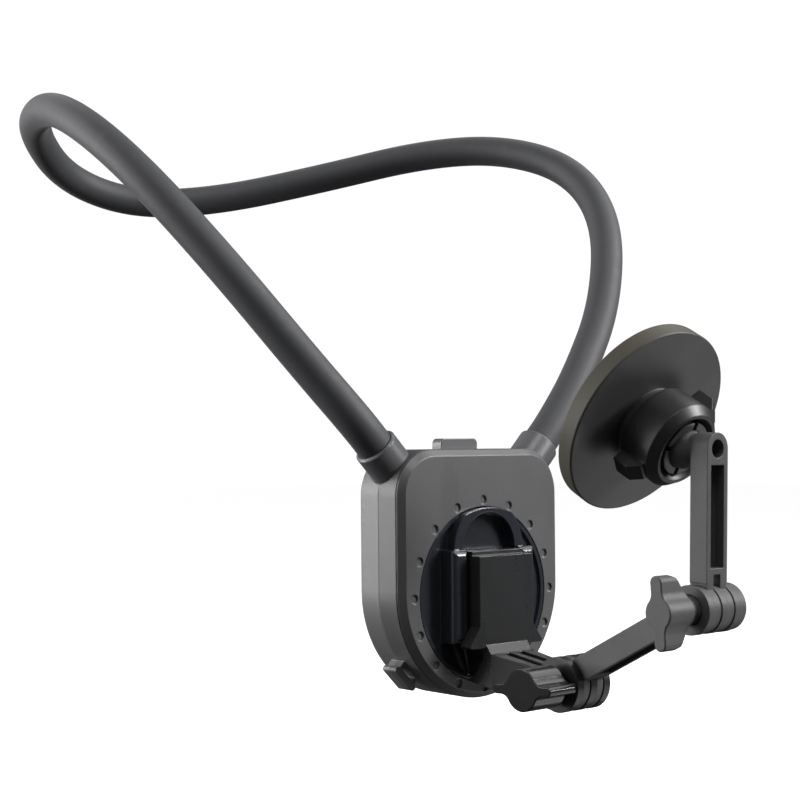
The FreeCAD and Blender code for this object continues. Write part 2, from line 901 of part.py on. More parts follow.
def make_ring_screws():
    """Four screws that fasten the index ring to the disc's hub."""
    screws = []
    for x, z in ring_screw_places():
        head = rod(size("ring_screw_head"), (x, RING_BACK, z), size("ring_screw_depth"), TO_BACK)
        shank = rod(size("ring_screw_radius"), (x, RING_BACK, z), size("ring_screw_length"), TO_FRONT)
        screws.append(fuse([head, shank]))
    return node("ring_screws", group(screws))


def to_side(side, near, far):
    """Two distances from the middle as a low and a high X on one side."""
    return (-far, -near) if side < 0 else (near, far)


def make_rail(side, back):
    """One rail of the disc, with the edges of its front face rounded."""
    low_x, high_x = to_side(side, size("rail_inner"), size("rail_outer"))
    body = new_body("Rail")
    outline = new_sketch(body, "XZ_Plane", -back)
    rectangle(outline, (low_x, -size("rail_low")), (high_x, size("rail_high")))
    block = pad(outline, back - RAIL_FRONT)
    soften("Fillet", block, lambda edge: edge.BoundBox.YMax < RAIL_FRONT.value + TOUCH, size("rail_round"))
    return body


def make_rotary_disc():
    """The disc that turns in the cover, with two rails and an arch that take the buckle."""
    flange = rod(DISC_RADIUS, (0, DISC_BACK, 0), size("disc_thickness"), TO_FRONT)
    dish_radius = DISC_RADIUS - size("disc_lip")
    dish = rod(dish_radius, (0, DISC_FLOOR, 0), size("disc_lip_height") + PAST, TO_FRONT)
    hub = rod(size("hub_radius"), (0, RING_FRONT, 0), RING_FRONT - DISC_BACK, TO_FRONT)
    sunk = DISC_FLOOR + size("disc_lip_height") / 2
    solids = [cut(fuse([flange, hub]), [dish])]
    cuts = []
    for side in SIDES.values():
        solids.append(make_rail(side, sunk))
        tip = (size("ramp_tip_x") * side, DISC_FLOOR, -size("ramp_low"))
        across = size("ramp_x") - size("ramp_tip_x")
        sink = FRONT - size("ramp_front") + size("ramp_radius") - DISC_FLOOR
        rise = size("ramp_low") - size("rail_low") - size("ramp_drop")
        way = Vector(across.value * side, sink.value, rise.value)
        length = root(across * across + sink * sink + rise * rise)
        solids.append(taper(size("ramp_tip"), size("ramp_radius"), tip, length, way))
        solids.append(ball(size("ramp_tip"), tip))
        groove = size("rail_inner") + size("groove_reach")
        near, far = to_side(side, size("rail_inner") - PAST, groove)
        groove_top = DISC_FLOOR - size("groove_near")
        cuts.append(
            box(
                (near, groove_top - size("groove_height"), -size("rail_low") - PAST),
                (far, groove_top, size("rail_high")),
            )
        )
    arch_depth = size("arch_height") + sunk - DISC_FLOOR
    arch = rod(size("arch_outer"), (0, sunk, size("rail_high")), arch_depth, TO_FRONT)
    through = arch_depth + 2 * PAST
    arch_room = rod(size("rail_inner"), (0, sunk + PAST, size("rail_high")), through, TO_FRONT)
    reach = size("arch_outer") + PAST
    below = box(
        (-reach, sunk - arch_depth - PAST, size("rail_high") - reach),
        (reach, sunk + PAST, size("rail_high")),
    )
    inside_rim = rod(DISC_RADIUS, (0, sunk + PAST, 0), through, TO_FRONT)
    solids.append(common([cut(arch, [arch_room, below]), inside_rim]))
    thread = size("ring_screw_radius") + size("thread_gap")
    depth = size("ring_screw_length") - size("ring_thickness") + 2 * size("fit_gap")
    cuts += [rod(thread, (x, RING_FRONT, z), depth, TO_FRONT) for x, z in ring_screw_places()]
    back_room = rod(DISC_RADIUS, (0, DISC_BACK, 0), 2 * size("ramp_radius"), TO_BACK)
    hub_again = rod(size("hub_radius"), (0, RING_FRONT, 0), RING_FRONT - DISC_BACK, TO_FRONT)
    return node("rotary_disc", cut(fuse(solids), [*cuts, cut(back_room, [hub_again])]))


def make_release_button():
    """The top button with its stem and the yoke round the index ring, whose tooth faces a notch."""
    middle = (RING_FRONT + RING_BACK) / 2
    front = middle - size("yoke_thickness") / 2
    back = middle + size("yoke_thickness") / 2
    travel = size("button_travel")
    inner = size("ring_radius") + size("yoke_gap")
    outer = inner + size("yoke_band")

    def long_hole(radius, extra):
        start = back + extra
        length = size("yoke_thickness") + 2 * as_size(extra)
        return fuse(
            [
                rod(radius, (0, start, 0), length, TO_FRONT),
                rod(radius, (0, start, travel), length, TO_FRONT),
                box((-radius, start - length, 0), (radius, start, travel)),
            ]
        )

    yoke = cut(long_hole(outer, 0), [long_hole(inner, PAST)])
    half_tooth = size("tooth_width") / 2
    tooth_top = -size("ring_radius") - size("disc_gap")
    tooth = box((-half_tooth, front, -inner - size("yoke_band") / 2), (half_tooth, back, tooth_top))
    half = size("button_half_width")
    near = -size("button_near")
    far = -size("button_far")
    top = size("plate_top") + size("button_height")
    web_low = outer
    web = box((-half, front, web_low), (half, near, web_low + size("yoke_band")))
    corner = size("button_height") / 2
    stem = box((-half, far, web_low), (half, near, top - corner))
    cap = box((corner - half, far, top - 2 * corner), (half - corner, near, top))
    depth = size("button_far") - size("button_near")
    rounds = [
        rod(corner, ((half - corner) * side, near, top - corner), depth, TO_FRONT)
        for side in SIDES.values()
    ]
    return node("release_button", fuse([yoke, tooth, web, stem, cap, *rounds]))


def make_button_spring():
    """The small coil under the yoke that lifts the button."""
    wire = size("spring_wire")
    wall_low = size("bottom_centre") + size("shell_wall") - size("plate_half_width")
    low = wall_low + size("fit_gap") + wire
    high = -size("ring_radius") - size("yoke_gap") - size("yoke_band") - wire
    coil = doc.addObject("Part::Helix", "Coil")
    bind(coil, "Radius", size("spring_radius"))
    bind(coil, "Height", high - low)
    pitch = (high - low) / size("spring_turns")
    bind(coil, "Pitch", pitch)
    section = doc.addObject("Part::Circle", "WireSection")
    bind(section, "Radius", wire)
    along_wire = Vector(0, 2 * math.pi * size("spring_radius").value, pitch.value)
    place(section, (size("spring_radius"), 0, 0), towards(along_wire))
    spring = doc.addObject("Part::Sweep", "Spring")
    doc.recompute()
    spring.Sections = [section]
    spring.Spine = (coil, [f"Edge{number}" for number in range(1, len(coil.Shape.Edges) + 1)])
    spring.Solid = True
    spring.Frenet = True
    place(spring, (0, (RING_FRONT + RING_BACK) / 2, low))
    return node("button_spring", spring)


# Hinge stacks: three prongs with two fingers between them, along X
PITCH = size("finger") + size("finger_gap")
HALF_FINGER = size("finger") / 2
STACK = 2 * PITCH + HALF_FINGER
HINGE_END = {1: STACK, 2: STACK + size("boss_extra")}
NUT_DEPTH = size("nut_thickness") + size("fit_gap")
BORE = size("bolt_radius") + size("bolt_gap")
KNOB_BASE = size("neck_recess") - size("disc_gap") - STACK - size("neck_length")
BOLT_SUNK = 7.0
KNOB_TILT = {1: 3.0, 2: 4.5}
HOOK_JOINT_ANGLE = math.radians(29.4)
# How a knob's ears slope off towards the hinge: shares of the slope, inwards and outwards
EAR_STEPS = [(1.0, 0.5), (0.25, 1.0), (0.0, 1.6)]
HINGES = {
    1: (size("hinge_1_y"), size("hinge_1_z"), size("hinge_1_radius")),
    2: (size("hinge_2_y"), size("hinge_2_z"), size("hinge_2_radius")),
}
ARM_REACH = HINGES[1][0] - HINGES[2][0]
ARM_RISE = HINGES[2][1] - HINGES[1][1]
ARM_TILT = -math.degrees(math.atan2(ARM_RISE.value, ARM_REACH.value))
NUT_TILT = {1: 0.0, 2: ARM_TILT}
LEAN_ALONG = math.cos(math.radians(SIZES["arm_upper_lean"]))
LEAN_ACROSS = math.sin(math.radians(SIZES["arm_upper_lean"]))
BALL_Y = HINGES[2][0] + size("ball_out") * LEAN_ALONG - size("ball_up") * LEAN_ACROSS
BALL_Z = HINGES[2][1] + size("ball_out") * LEAN_ACROSS + size("ball_up") * LEAN_ALONG


def along_x(radius, start, end, y, z):
    """A round bar across the mount."""
    return rod(radius, (start, y, z), end - start, TO_RIGHT)


def hinge_cuts(number, y, z):
    """What a three-prong hinge end lacks: the bolt's bore, the knob's recess and the nut's pocket."""
    end = HINGE_END[number]
    bore = along_x(BORE, -STACK - PAST, end + PAST, y, z)
    recess_radius = size("neck_radius") + size("disc_gap")
    recess = along_x(recess_radius, -STACK - PAST, size("neck_recess") - STACK, y, z)
    flats = size("nut_flats") + 2 * size("nut_gap")
    nut_room = hexagon(flats, (end - NUT_DEPTH, y, z), NUT_DEPTH + PAST, TO_RIGHT)
    return [bore, recess, nut_room]


def prong_slots(low, high):
    """The two gaps between three prongs, as blocks between two corners given in y and z."""
    near = HALF_FINGER
    far = 2 * PITCH - HALF_FINGER
    right = box((near, *low), (far, *high))
    left = box((-far, *low), (-near, *high))
    return [right, left]


def make_buckle():
    """The quick-release piece: a slide in the rails, squeeze tabs and a hook that ends in hinge 1."""
    y, z, radius = HINGES[1]
    back = RAIL_FRONT - size("slide_gap")
    front = back - size("buckle_front")
    half = size("buckle_half_width")
    high = size("buckle_high")
    low = -size("buckle_low")
    visor = size("visor_half_width")
    tab = size("tab_reach")
    tab_high = low + size("tab_height")
    plate = new_body("BucklePlate")
    face = new_sketch(plate, "XZ_Plane", -back)
    nose = size("tab_nose")
    right = [(visor, low), (tab - nose, low), (tab, low + nose), (half, tab_high), (half, high)]
    polygon(face, right + [(-x, height) for x, height in reversed(right)])
    pad(face, size("buckle_front"))
    slide_half = size("rail_inner") - size("slide_gap")
    slide_back = FRONT - 2 * size("slide_gap")
    slide_top = size("rail_high") - size("slide_gap") - size("disc_gap")
    slide = box((-slide_half, back - PAST, -size("slide_low")), (slide_half, slide_back, slide_top))
    tongue = size("rail_inner") + size("groove_reach") - size("slide_gap")
    groove_top = DISC_FLOOR - size("groove_near")
    tongue_low = groove_top - size("groove_height") + size("slide_gap")
    tongue_high = groove_top - size("slide_gap")
    tongues = box((-tongue, tongue_low, -size("slide_low")), (tongue, tongue_high, slide_top))
    hook_back = back + size("hook_back")
    hook_low = z - size("hook_drop")
    heel = hook_low + size("hook_heel")
    neck_top = z + size("hook_rise")
    root_low = low + size("hook_root")
    visor_front = front - size("hook_step")
    top = [(back, root_low), (front, root_low), (visor_front, neck_top)]
    foot = [(hook_back, hook_low), (hook_back, heel), (back + size("hook_lean"), neck_top)]
    profile = new_body("HookProfile")
    outline = new_sketch(profile, "YZ_Plane")
    joint = (y + radius * math.cos(HOOK_JOINT_ANGLE), z + radius * math.sin(HOOK_JOINT_ANGLE))
    polygon(outline, top + [joint, (y, z), (y, z - radius)] + foot)
    pad(outline, 2 * visor, midplane=True)
    plan = new_body("HookPlan")
    outline = new_sketch(plan, "XY_Plane", z - radius - PAST)
    edge = [(visor, hook_back), (visor, visor_front), (STACK, y + size("hook_narrow")), (STACK, y)]
    polygon(outline, edge + [(-x, depth) for x, depth in reversed(edge)])
    pad(outline, root_low - z + radius + 2 * PAST)
    knuckle = along_x(radius, -STACK, STACK, y, z)
    slots = prong_slots((y - radius - PAST, z - 2 * radius), (y + size("slot_back"), z + 2 * radius))
    scoop_at = (back + size("scoop_back"), low + size("scoop_up"))
    scoop = along_x(size("scoop_radius"), -visor - PAST, visor + PAST, *scoop_at)
    hook = cut(fuse([common([profile, plan]), knuckle]), [scoop])
    return node("buckle", cut(fuse([plate, slide, tongues, hook]), [*slots, *hinge_cuts(1, y, z)]))


def fingers(y, z, radius, low, high):
    """Two hinge fingers with legs that run from the hinge to a block between two corners."""
    pieces = []
    for side in SIDES.values():
        start = PITCH * side - HALF_FINGER
        end = PITCH * side + HALF_FINGER
        pieces.append(along_x(radius - size("disc_gap"), start, end, y, z))
        pieces.append(box((start, *low), (end, *high)))
    return pieces


def make_arm_lower():
    """The lower arm, built level from hinge 1 towards -Y and then tilted up to hinge 2."""
    y, z, radius_1 = HINGES[1]
    radius_2 = HINGES[2][2]
    length = root(ARM_REACH * ARM_REACH + ARM_RISE * ARM_RISE)
    half = size("arm_half_width")
    high = size("arm_lower_high")
    low = -size("arm_lower_low")
    bar_start = -radius_1 - size("arm_clear")
    bar_end = radius_2 + size("arm_clear") - length
    legs = fingers(0, 0, radius_1, (bar_start - PAST, low), (0, high))
    bar = box((-half, bar_end, low), (half, bar_start, high))
    shoulder = box((-STACK, bar_end, low), (STACK, bar_end + size("arm_shoulder") / 2, high))
    prongs = [box((-STACK, -length, low), (STACK, bar_end + PAST, high))]
    prongs.append(along_x(radius_2, -STACK, STACK, -length, 0))
    prongs.append(along_x(radius_2 - size("disc_gap"), STACK - PAST, HINGE_END[2], -length, 0))
    slots = prong_slots((-length - radius_2 - PAST, -2 * radius_2), (bar_end, 2 * radius_2))
    pocket_half = size("arm_pocket_width") / 2
    hollow = box(
        (-pocket_half, bar_end + size("arm_shoulder"), low - PAST),
        (pocket_half, bar_start - size("arm_shoulder"), low + size("arm_pocket_depth")),
    )
    bore = along_x(BORE, -STACK, STACK, 0, 0)
    solid = fuse([*legs, bar, shoulder, *prongs])
    arm = cut(solid, [*slots, *hinge_cuts(2, -length, 0), hollow, bore])
    return node("arm_lower", place(arm, (0, y, z), Rotation(AXIS["x"], ARM_TILT)))


def make_arm_upper():
    """The upper arm with the ball of the phone head, built upright on hinge 2 and then leant forwards."""
    y, z, radius = HINGES[2]
    half = size("arm_half_width")
    front = -size("arm_upper_front")
    back = size("arm_upper_back")
    out = size("ball_out")
    top = size("ball_up")
    bar_low = radius + size("arm_clear")
    legs = fingers(0, 0, radius, (front, 0), (back, bar_low + PAST))
    bar = box((-half, front, bar_low), (half, back, top))
    crown = rod(half, (0, back, top), back - front, TO_FRONT)
    stalk = rod(size("ball_neck"), (0, out, top), out - front, TO_FRONT)
    knuckle = ball(size("ball_radius"), (0, out, top))
    pocket_half = size("arm_pocket_width") / 2
    hollow = box(
        (-pocket_half, front - PAST, bar_low + size("arm_shoulder")),
        (pocket_half, front + size("arm_pocket_depth"), top - half),
    )
    slot_half = PITCH - HALF_FINGER
    slot = box((-slot_half, front - PAST, 0), (slot_half, back + PAST, bar_low + size("arm_slot_rise")))
    hole = rod(size("ball_hole"), (0, front - PAST, top), size("ball_hole_depth") + PAST, TO_BACK)
    bore = along_x(BORE, -STACK, STACK, 0, 0)
    arm = cut(fuse([*legs, bar, crown, stalk, knuckle]), [hollow, slot, hole, bore])
    return node("arm_upper", place(arm, (0, y, z), Rotation(AXIS["x"], SIZES["arm_upper_lean"])))


def make_nut(number):
    """A captive hexagon nut in a hinge boss."""
    y, z, _ = HINGES[number]
    start = HINGE_END[number] - NUT_DEPTH
    blank = hexagon(size("nut_flats"), (start, y, z), size("nut_thickness"), TO_RIGHT)
    facing = Rotation(AXIS["x"], NUT_TILT[number]).multiply(towards(TO_RIGHT))
    place(blank, (start, y, z), facing)
    thread = size("bolt_radius") + size("thread_gap")
    bore = along_x(thread, start - PAST, start + 2 * NUT_DEPTH, y, z)
    return node(f"hinge_nut_{number}", cut(blank, [bore]))


def make_bolt(number):
    """The threaded rod that is moulded into a knob and pulls a hinge together."""
    y, z, _ = HINGES[number]
    end = HINGE_END[number] - size("fit_gap")
    return node(f"bolt_{number}", along_x(size("bolt_radius"), KNOB_BASE - BOLT_SUNK, end, y, z))


def make_knob(number, turn):
    """A two-eared hand knob with a neck that reaches into the hinge."""
    y, z, _ = HINGES[number]
    hub = size(f"knob_{number}_hub")
    ear = size(f"knob_{number}_ear") / 2
    length = size(f"knob_{number}_length")
    body = new_body("Knob")
    outline = new_sketch(body, "XY_Plane")
    circle(outline, (0, 0), hub)
    pad(outline, length)
    outline = new_sketch(body, "XY_Plane")
    stadium(outline, size(f"knob_{number}_span") / 2, ear)
    ears = pad(outline, length)

    def inner_corner(edge):
        middle = edge.CenterOfMass
        upright = len(edge.Vertexes) == 2 and abs(edge.tangentAt(edge.FirstParameter).z) > 0.99
        return upright and abs(math.hypot(middle.x, middle.y) - hub.value) < TOUCH

    def on_face(edge):
        return abs(edge.CenterOfMass.z - length.value) < TOUCH

    webs = soften("Fillet", ears, inner_corner, size("knob_fillet"))
    soften("Chamfer", webs, on_face, size("knob_chamfer"))
    reach = size(f"knob_{number}_span") / 2 + size("fit_gap")
    slope = size(f"knob_{number}_slope")
    flank = [(reach - slope * inwards, slope * outwards) for inwards, outwards in EAR_STEPS]
    limit = turned("KnobLimit", [(0, 0), (hub, 0), *flank, (reach, length), (0, length)])
    neck = rod(size("neck_radius"), (0, 0, -size("neck_length")), size("neck_length") + PAST, UP)
    bore_length = size("neck_length") + BOLT_SUNK + size("fit_gap")
    bore = rod(size("bolt_radius") + size("thread_gap"), (0, 0, -size("neck_length")), bore_length, UP)
    knob = cut(fuse([common([body, limit]), neck]), [bore])
    facing = Rotation(AXIS["y"], -90).multiply(Rotation(AXIS["z"], turn))
    return node(f"knob_{number}", place(knob, (KNOB_BASE, y, z), facing))


def on_head(item):
    """Put a piece that was built along +Z onto the ball, tilted with the phone head."""
    place(item, (0, BALL_Y, BALL_Z), Rotation(Vector(-1, 0, 0), 90 - SIZES["head_tilt"]))
    bind(item, "Placement.Rotation.Angle", 90 - size("head_tilt"))
    return item


HEAD_FLOOR = size("head_face") + size("head_web")
HEAD_BACK = size("head_face") + size("head_thickness")
SOCKET = size("ball_radius") + size("socket_gap")
COLLET = SOCKET + size("collet_wall")
COLLAR_BORE = COLLET + size("collar_gap")
HUB_BORE = size("hub_outer") + size("collar_gap")


def make_head_base():
    """The phone head's dish with the slotted collet that grips the ball."""
    rim = size("head_radius")
    bevel = size("head_bevel")
    face = size("head_face")
    inner = rim - size("head_wall")
    shoulder = size("collar_rear") + size("collar_gap")
    foot = size("hub_outer") + size("hub_foot")
    body = turned(
        "HeadDish",
        [
            (0, -size("collet_front")),
            (COLLET, -size("collet_front")),
            (COLLET, size("collet_back")),
            (size("hub_outer"), size("collet_back")),
            (size("hub_outer"), shoulder),
            (foot, shoulder),
            (foot, face),
            (rim - bevel, face),
            (rim, face + bevel),
            (rim, HEAD_BACK - bevel / 2),
            (rim - bevel / 2, HEAD_BACK),
            (inner, HEAD_BACK),
            (inner, HEAD_FLOOR),
            (0, HEAD_FLOOR),
        ],
    )
    half_slot = size("collet_slot") / 2
    low = -size("collet_front") - PAST
    high = size("collet_back")
    reach = COLLET + PAST
    slots = [
        box((-reach, -half_slot, low), (reach, half_slot, high)),
        box((-half_slot, -reach, low), (half_slot, reach, high)),
    ]
    return node("head_base", on_head(cut(body, [ball(SOCKET, (0, 0, 0)), *slots])))


def make_collar():
    """The winged collar that squeezes the collet onto the ball."""
    outer = size("collar_radius")
    front = -size("collar_front")
    rear = size("collar_rear")
    chamfer = size("collar_chamfer")
    lead = size("collar_chamfer_length")
    ring = turned(
        "CollarRing",
        [
            (size("collar_mouth"), front),
            (outer - chamfer, front),
            (outer, front + lead),
            (outer, rear),
            (HUB_BORE, rear),
            (HUB_BORE, size("collet_back") - size("hub_step") / 2),
            (COLLAR_BORE, size("collet_back") - size("hub_step")),
            (COLLAR_BORE, front + size("collar_mouth_depth")),
        ],
    )
    wings = new_body("CollarWings")
    outline = new_sketch(wings, "XZ_Plane")
    reach = size("wing_reach")
    slope = size("wing_slope")
    high = rear - size("wing_back")
    low = high - size("wing_length")
    right = [(outer - slope, low), (reach - slope, low), (reach, low + slope), (reach, high)]
    polygon(outline, right + [(-across, up) for across, up in reversed(right)])
    pad(outline, size("wing_width"), midplane=True)
    wings.Placement = Placement(Vector(), Rotation(AXIS["z"], -SIZES["wing_turn"]))
    room = rod(outer - size("collar_gap"), (0, 0, low - PAST), size("wing_length") + 2 * PAST, UP)
    return node("locking_collar", on_head(fuse([ring, cut(wings, [room])])))


def make_head_inserts():
    """What fills the head's dish: a steel plate, the magnet ring and the soft face pad."""
    inner = size("head_radius") - size("head_wall") - 2 * size("fit_gap")
    magnet_start = HEAD_FLOOR + size("steel_thickness")
    pad_start = magnet_start + size("magnet_thickness")
    node("steel_plate", on_head(group([rod(inner, (0, 0, HEAD_FLOOR), size("steel_thickness"), UP)])))
    magnet = rod(size("magnet_outer"), (0, 0, magnet_start), size("magnet_thickness"), UP)
    hollow = rod(size("magnet_inner"), (0, 0, magnet_start - PAST), size("magnet_thickness") + 2 * PAST, UP)
    node("magnet_ring", on_head(cut(magnet, [hollow])))
    node("face_pad", on_head(group([rod(inner, (0, 0, pad_start), size("pad_thickness"), UP)])))


make_rear_shell()
make_front_shell()
make_front_cover()
make_shell_screws()
make_tube_sockets()
make_neck()
make_release_button()
make_button_spring()
make_rotary_disc()
make_index_ring()
make_ring_screws()
make_buckle()
make_arm_lower()
make_arm_upper()
for hinge, knob_turn in ((1, 90 + KNOB_TILT[1]), (2, KNOB_TILT[2])):
    make_nut(hinge)
    make_knob(hinge, knob_turn)
    make_bolt(hinge)
make_head_base()
make_collar()
make_head_inserts()
doc.recompute()

faults = [item.Name for item in doc.Objects if "Invalid" in item.State or "Error" in item.State]
faults += [item.Label for item in NODES if item.Shape.isNull() or not item.Shape.isValid()]
if faults:
    raise SystemExit(f"faulty objects: {faults}")

os.makedirs("parts", exist_ok=True)
for item in NODES:
    item.Shape.exportStep(f"parts/{item.Label}.step")
    extent = item.Shape.BoundBox
    print(
        f"{item.Label}: {len(item.Shape.Solids)} solid(s), {item.Shape.Volume:.0f} mm3, "
        f"x {extent.XMin:.1f}..{extent.XMax:.1f}, y {extent.YMin:.1f}..{extent.YMax:.1f}, "
        f"z {extent.ZMin:.1f}..{extent.ZMax:.1f}"
    )
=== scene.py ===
# %% [markdown]
# # A magnet mount worn on the chest
#
# The mount hangs round the neck on a bendable tube. A flat plate rests on the chest, a disc turns in
# its front, and a buckle on the disc carries two hinged arms with a round magnet head. The solids come
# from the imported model. This lesson gives them their finishes, light and camera, and swaps a few of
# them for finer pieces.

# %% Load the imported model
import math

import bmesh
import bpy
from mathutils import Matrix, Vector


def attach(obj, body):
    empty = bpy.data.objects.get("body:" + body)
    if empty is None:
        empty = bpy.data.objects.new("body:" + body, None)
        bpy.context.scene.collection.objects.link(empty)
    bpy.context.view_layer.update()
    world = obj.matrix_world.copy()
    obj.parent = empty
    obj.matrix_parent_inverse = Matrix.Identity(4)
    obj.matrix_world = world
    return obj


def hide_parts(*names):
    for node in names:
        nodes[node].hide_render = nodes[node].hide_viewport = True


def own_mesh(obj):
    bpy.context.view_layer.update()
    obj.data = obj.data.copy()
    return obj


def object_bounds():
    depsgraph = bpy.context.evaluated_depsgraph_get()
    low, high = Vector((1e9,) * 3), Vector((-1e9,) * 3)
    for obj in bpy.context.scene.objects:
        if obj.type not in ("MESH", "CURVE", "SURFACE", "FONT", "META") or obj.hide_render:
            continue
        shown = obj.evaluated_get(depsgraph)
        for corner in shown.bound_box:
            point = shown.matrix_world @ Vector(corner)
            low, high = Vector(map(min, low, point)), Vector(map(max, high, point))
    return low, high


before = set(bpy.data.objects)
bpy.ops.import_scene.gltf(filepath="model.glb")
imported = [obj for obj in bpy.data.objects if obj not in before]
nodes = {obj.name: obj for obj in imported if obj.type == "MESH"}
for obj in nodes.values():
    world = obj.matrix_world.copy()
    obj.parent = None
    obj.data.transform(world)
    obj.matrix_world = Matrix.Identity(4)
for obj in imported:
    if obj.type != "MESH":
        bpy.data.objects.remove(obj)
solid_box = [list(corner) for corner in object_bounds()]
MM = 0.001
print("nodes loaded:", len(nodes))

# %% [markdown]
# ## Camera
#
# The mount is seen from the front left, a little above the plate's middle. The eye point and the angles
# were found by fitting known circles and edges of the mount, so the camera is written as a point, three
# angles and a lens. Aiming it by eye would leave every edge a few pixels off.

# %% Camera
EYE = Vector((-396.2, -429.0, 53.2)) * MM
YAW, PITCH, ROLL = (math.radians(angle) for angle in (41.212, 1.552, -0.458))
LENS_MM, SENSOR_MM = 72, 36

ahead = Vector((math.sin(YAW) * math.cos(PITCH), math.cos(YAW) * math.cos(PITCH), math.sin(PITCH)))
level = Vector((math.cos(YAW), -math.sin(YAW), 0))
upright = level.cross(ahead)
across = level * math.cos(ROLL) + upright * math.sin(ROLL)
upward = upright * math.cos(ROLL) - level * math.sin(ROLL)
turned = Matrix((across, upward, -ahead)).transposed().to_4x4()
camera = bpy.data.objects.new("StudioCamera", bpy.data.cameras.new("StudioCamera"))
camera.matrix_world = Matrix.Translation(EYE) @ turned
camera.data.lens = LENS_MM
camera.data.sensor_width = SENSOR_MM
bpy.context.scene.collection.objects.link(camera)
bpy.context.scene.camera = camera
print("camera looks along", [round(number, 3) for number in ahead])

# %% [markdown]
# ## Sums on sockets
#
# A room's light or a finish is a formula, and Blender draws a formula as nodes. Wiring each Math node by
# hand hides it again. So one small class wraps a socket, and its operators add the Math nodes: a sum in
# the script then reads as a sum. Every other node comes from one method of the same class.

# %% Sums on sockets
FACTOR, COLOUR_A, COLOUR_B, COLOUR_OUT = 0, 6, 7, 2


class Wire:
    """A node's socket that joins in sums like a number."""

    def __init__(self, tree, socket):
        self.tree = tree
        self.socket = socket

    def make(self, kind, settings, inputs, output=0):
        """Adds any node: its settings first, then the values or wires of its sockets."""
        item = self.tree.nodes.new(kind)
        for key, value in settings.items():
            setattr(item, key, value)
        for key, value in inputs.items():
            if isinstance(value, Wire):
                self.tree.links.new(value.socket, item.inputs[key])
            else:
                item.inputs[key].default_value = value
        return Wire(self.tree, item.outputs[output])

    def sum(self, operation, first, second):
        return self.make("ShaderNodeMath", {"operation": operation}, {0: first, 1: second})

    def __add__(self, other):
        return self.sum("ADD", self, other)

    def __radd__(self, other):
        return self.sum("ADD", other, self)

    def __sub__(self, other):
        return self.sum("SUBTRACT", self, other)

    def __rsub__(self, other):
        return self.sum("SUBTRACT", other, self)

    def __mul__(self, other):
        return self.sum("MULTIPLY", self, other)

    def __rmul__(self, other):
        return self.sum("MULTIPLY", other, self)

    def step(self, low, high):
        """0 below low, 1 above high, smooth between."""
        inputs = {"Value": self, "From Min": low, "From Max": high}
        return self.make("ShaderNodeMapRange", {"interpolation_type": "SMOOTHSTEP"}, inputs)

    def vectors(self, operation, other, output="Vector"):
        """A sum of two vectors."""
        return self.make("ShaderNodeVectorMath", {"operation": operation}, {0: self, 1: other}, output)

    def noise(self, size, detail, roughness=0.5, stretch=None):
        """Cloudy values from 0 to 1 whose blobs are about this large, in metres."""
        place = self
        if stretch is not None:
            place = self.make("ShaderNodeMapping", {}, {"Vector": self, "Scale": stretch})
        inputs = {"Vector": place, "Scale": 1 / size, "Detail": detail, "Roughness": roughness}
        return self.make("ShaderNodeTexNoise", {}, inputs)

    def shade(self, dark, pale):
        """A colour between two others, by this value."""
        inputs = {FACTOR: self, COLOUR_A: (*dark, 1), COLOUR_B: (*pale, 1)}
        return self.make("ShaderNodeMix", {"data_type": "RGBA"}, inputs, COLOUR_OUT)


print("sums made with", Wire.__name__)

# %% [markdown]
# ## Room and light
#
# Black plastic shows its shape only through what it reflects. So the room is dim in front of the mount
# and pale behind its left side, down to the height of the plate. Seven soft lamps give the rest: two stand
# behind on the left, one hangs high in front, two stand in front on the right and one above on the right,
# and a weak one below opens the shade under the head. What the camera itself sees of the room is plain
# white paper.

# %% Room
DIM, PALE, PAPER_WHITE = 0.065, 0.96, 1.02
PALE_SIDE = Vector((-0.72, 0.69, 0.0)).normalized()
world = bpy.data.worlds.new("PaperRoom")
world.use_nodes = True
bpy.context.scene.world = world
backdrop = world.node_tree.nodes["Background"]
gaze = Wire(world.node_tree, world.node_tree.nodes.new("ShaderNodeTexCoord").outputs["Generated"])
toward = gaze.vectors("DOT_PRODUCT", tuple(PALE_SIDE), "Value")
above = gaze.make("ShaderNodeSeparateXYZ", {}, {0: gaze}, "Z")
glow = DIM + PALE * toward.step(0.2, 0.8) * above.step(-0.25, 0.05)
seen = gaze.make("ShaderNodeLightPath", {}, {}, "Is Camera Ray")
strength = glow + seen * (PAPER_WHITE - glow)
world.node_tree.links.new(strength.socket, backdrop.inputs["Strength"])
backdrop.inputs["Color"].default_value = (1.0, 1.0, 1.0, 1)
bpy.context.scene.view_settings.view_transform = "Standard"
print("room made, dim", DIM, "and pale", PALE)

# %% Lamps
LAMP_AIM = Vector((0.0, -0.04, 0.04))


def soft_lamp(name, place, width, height, watts):
    """A large soft lamp that faces the mount."""
    lamp = bpy.data.lights.new(name, "AREA")
    lamp.shape = "RECTANGLE"
    lamp.size, lamp.size_y, lamp.energy = width, height, watts
    holder = bpy.data.objects.new(name, lamp)
    holder.location = place
    holder.rotation_euler = (LAMP_AIM - Vector(place)).to_track_quat("-Z", "Y").to_euler()
    bpy.context.scene.collection.objects.link(holder)
    print("lamp", name, watts, "W")


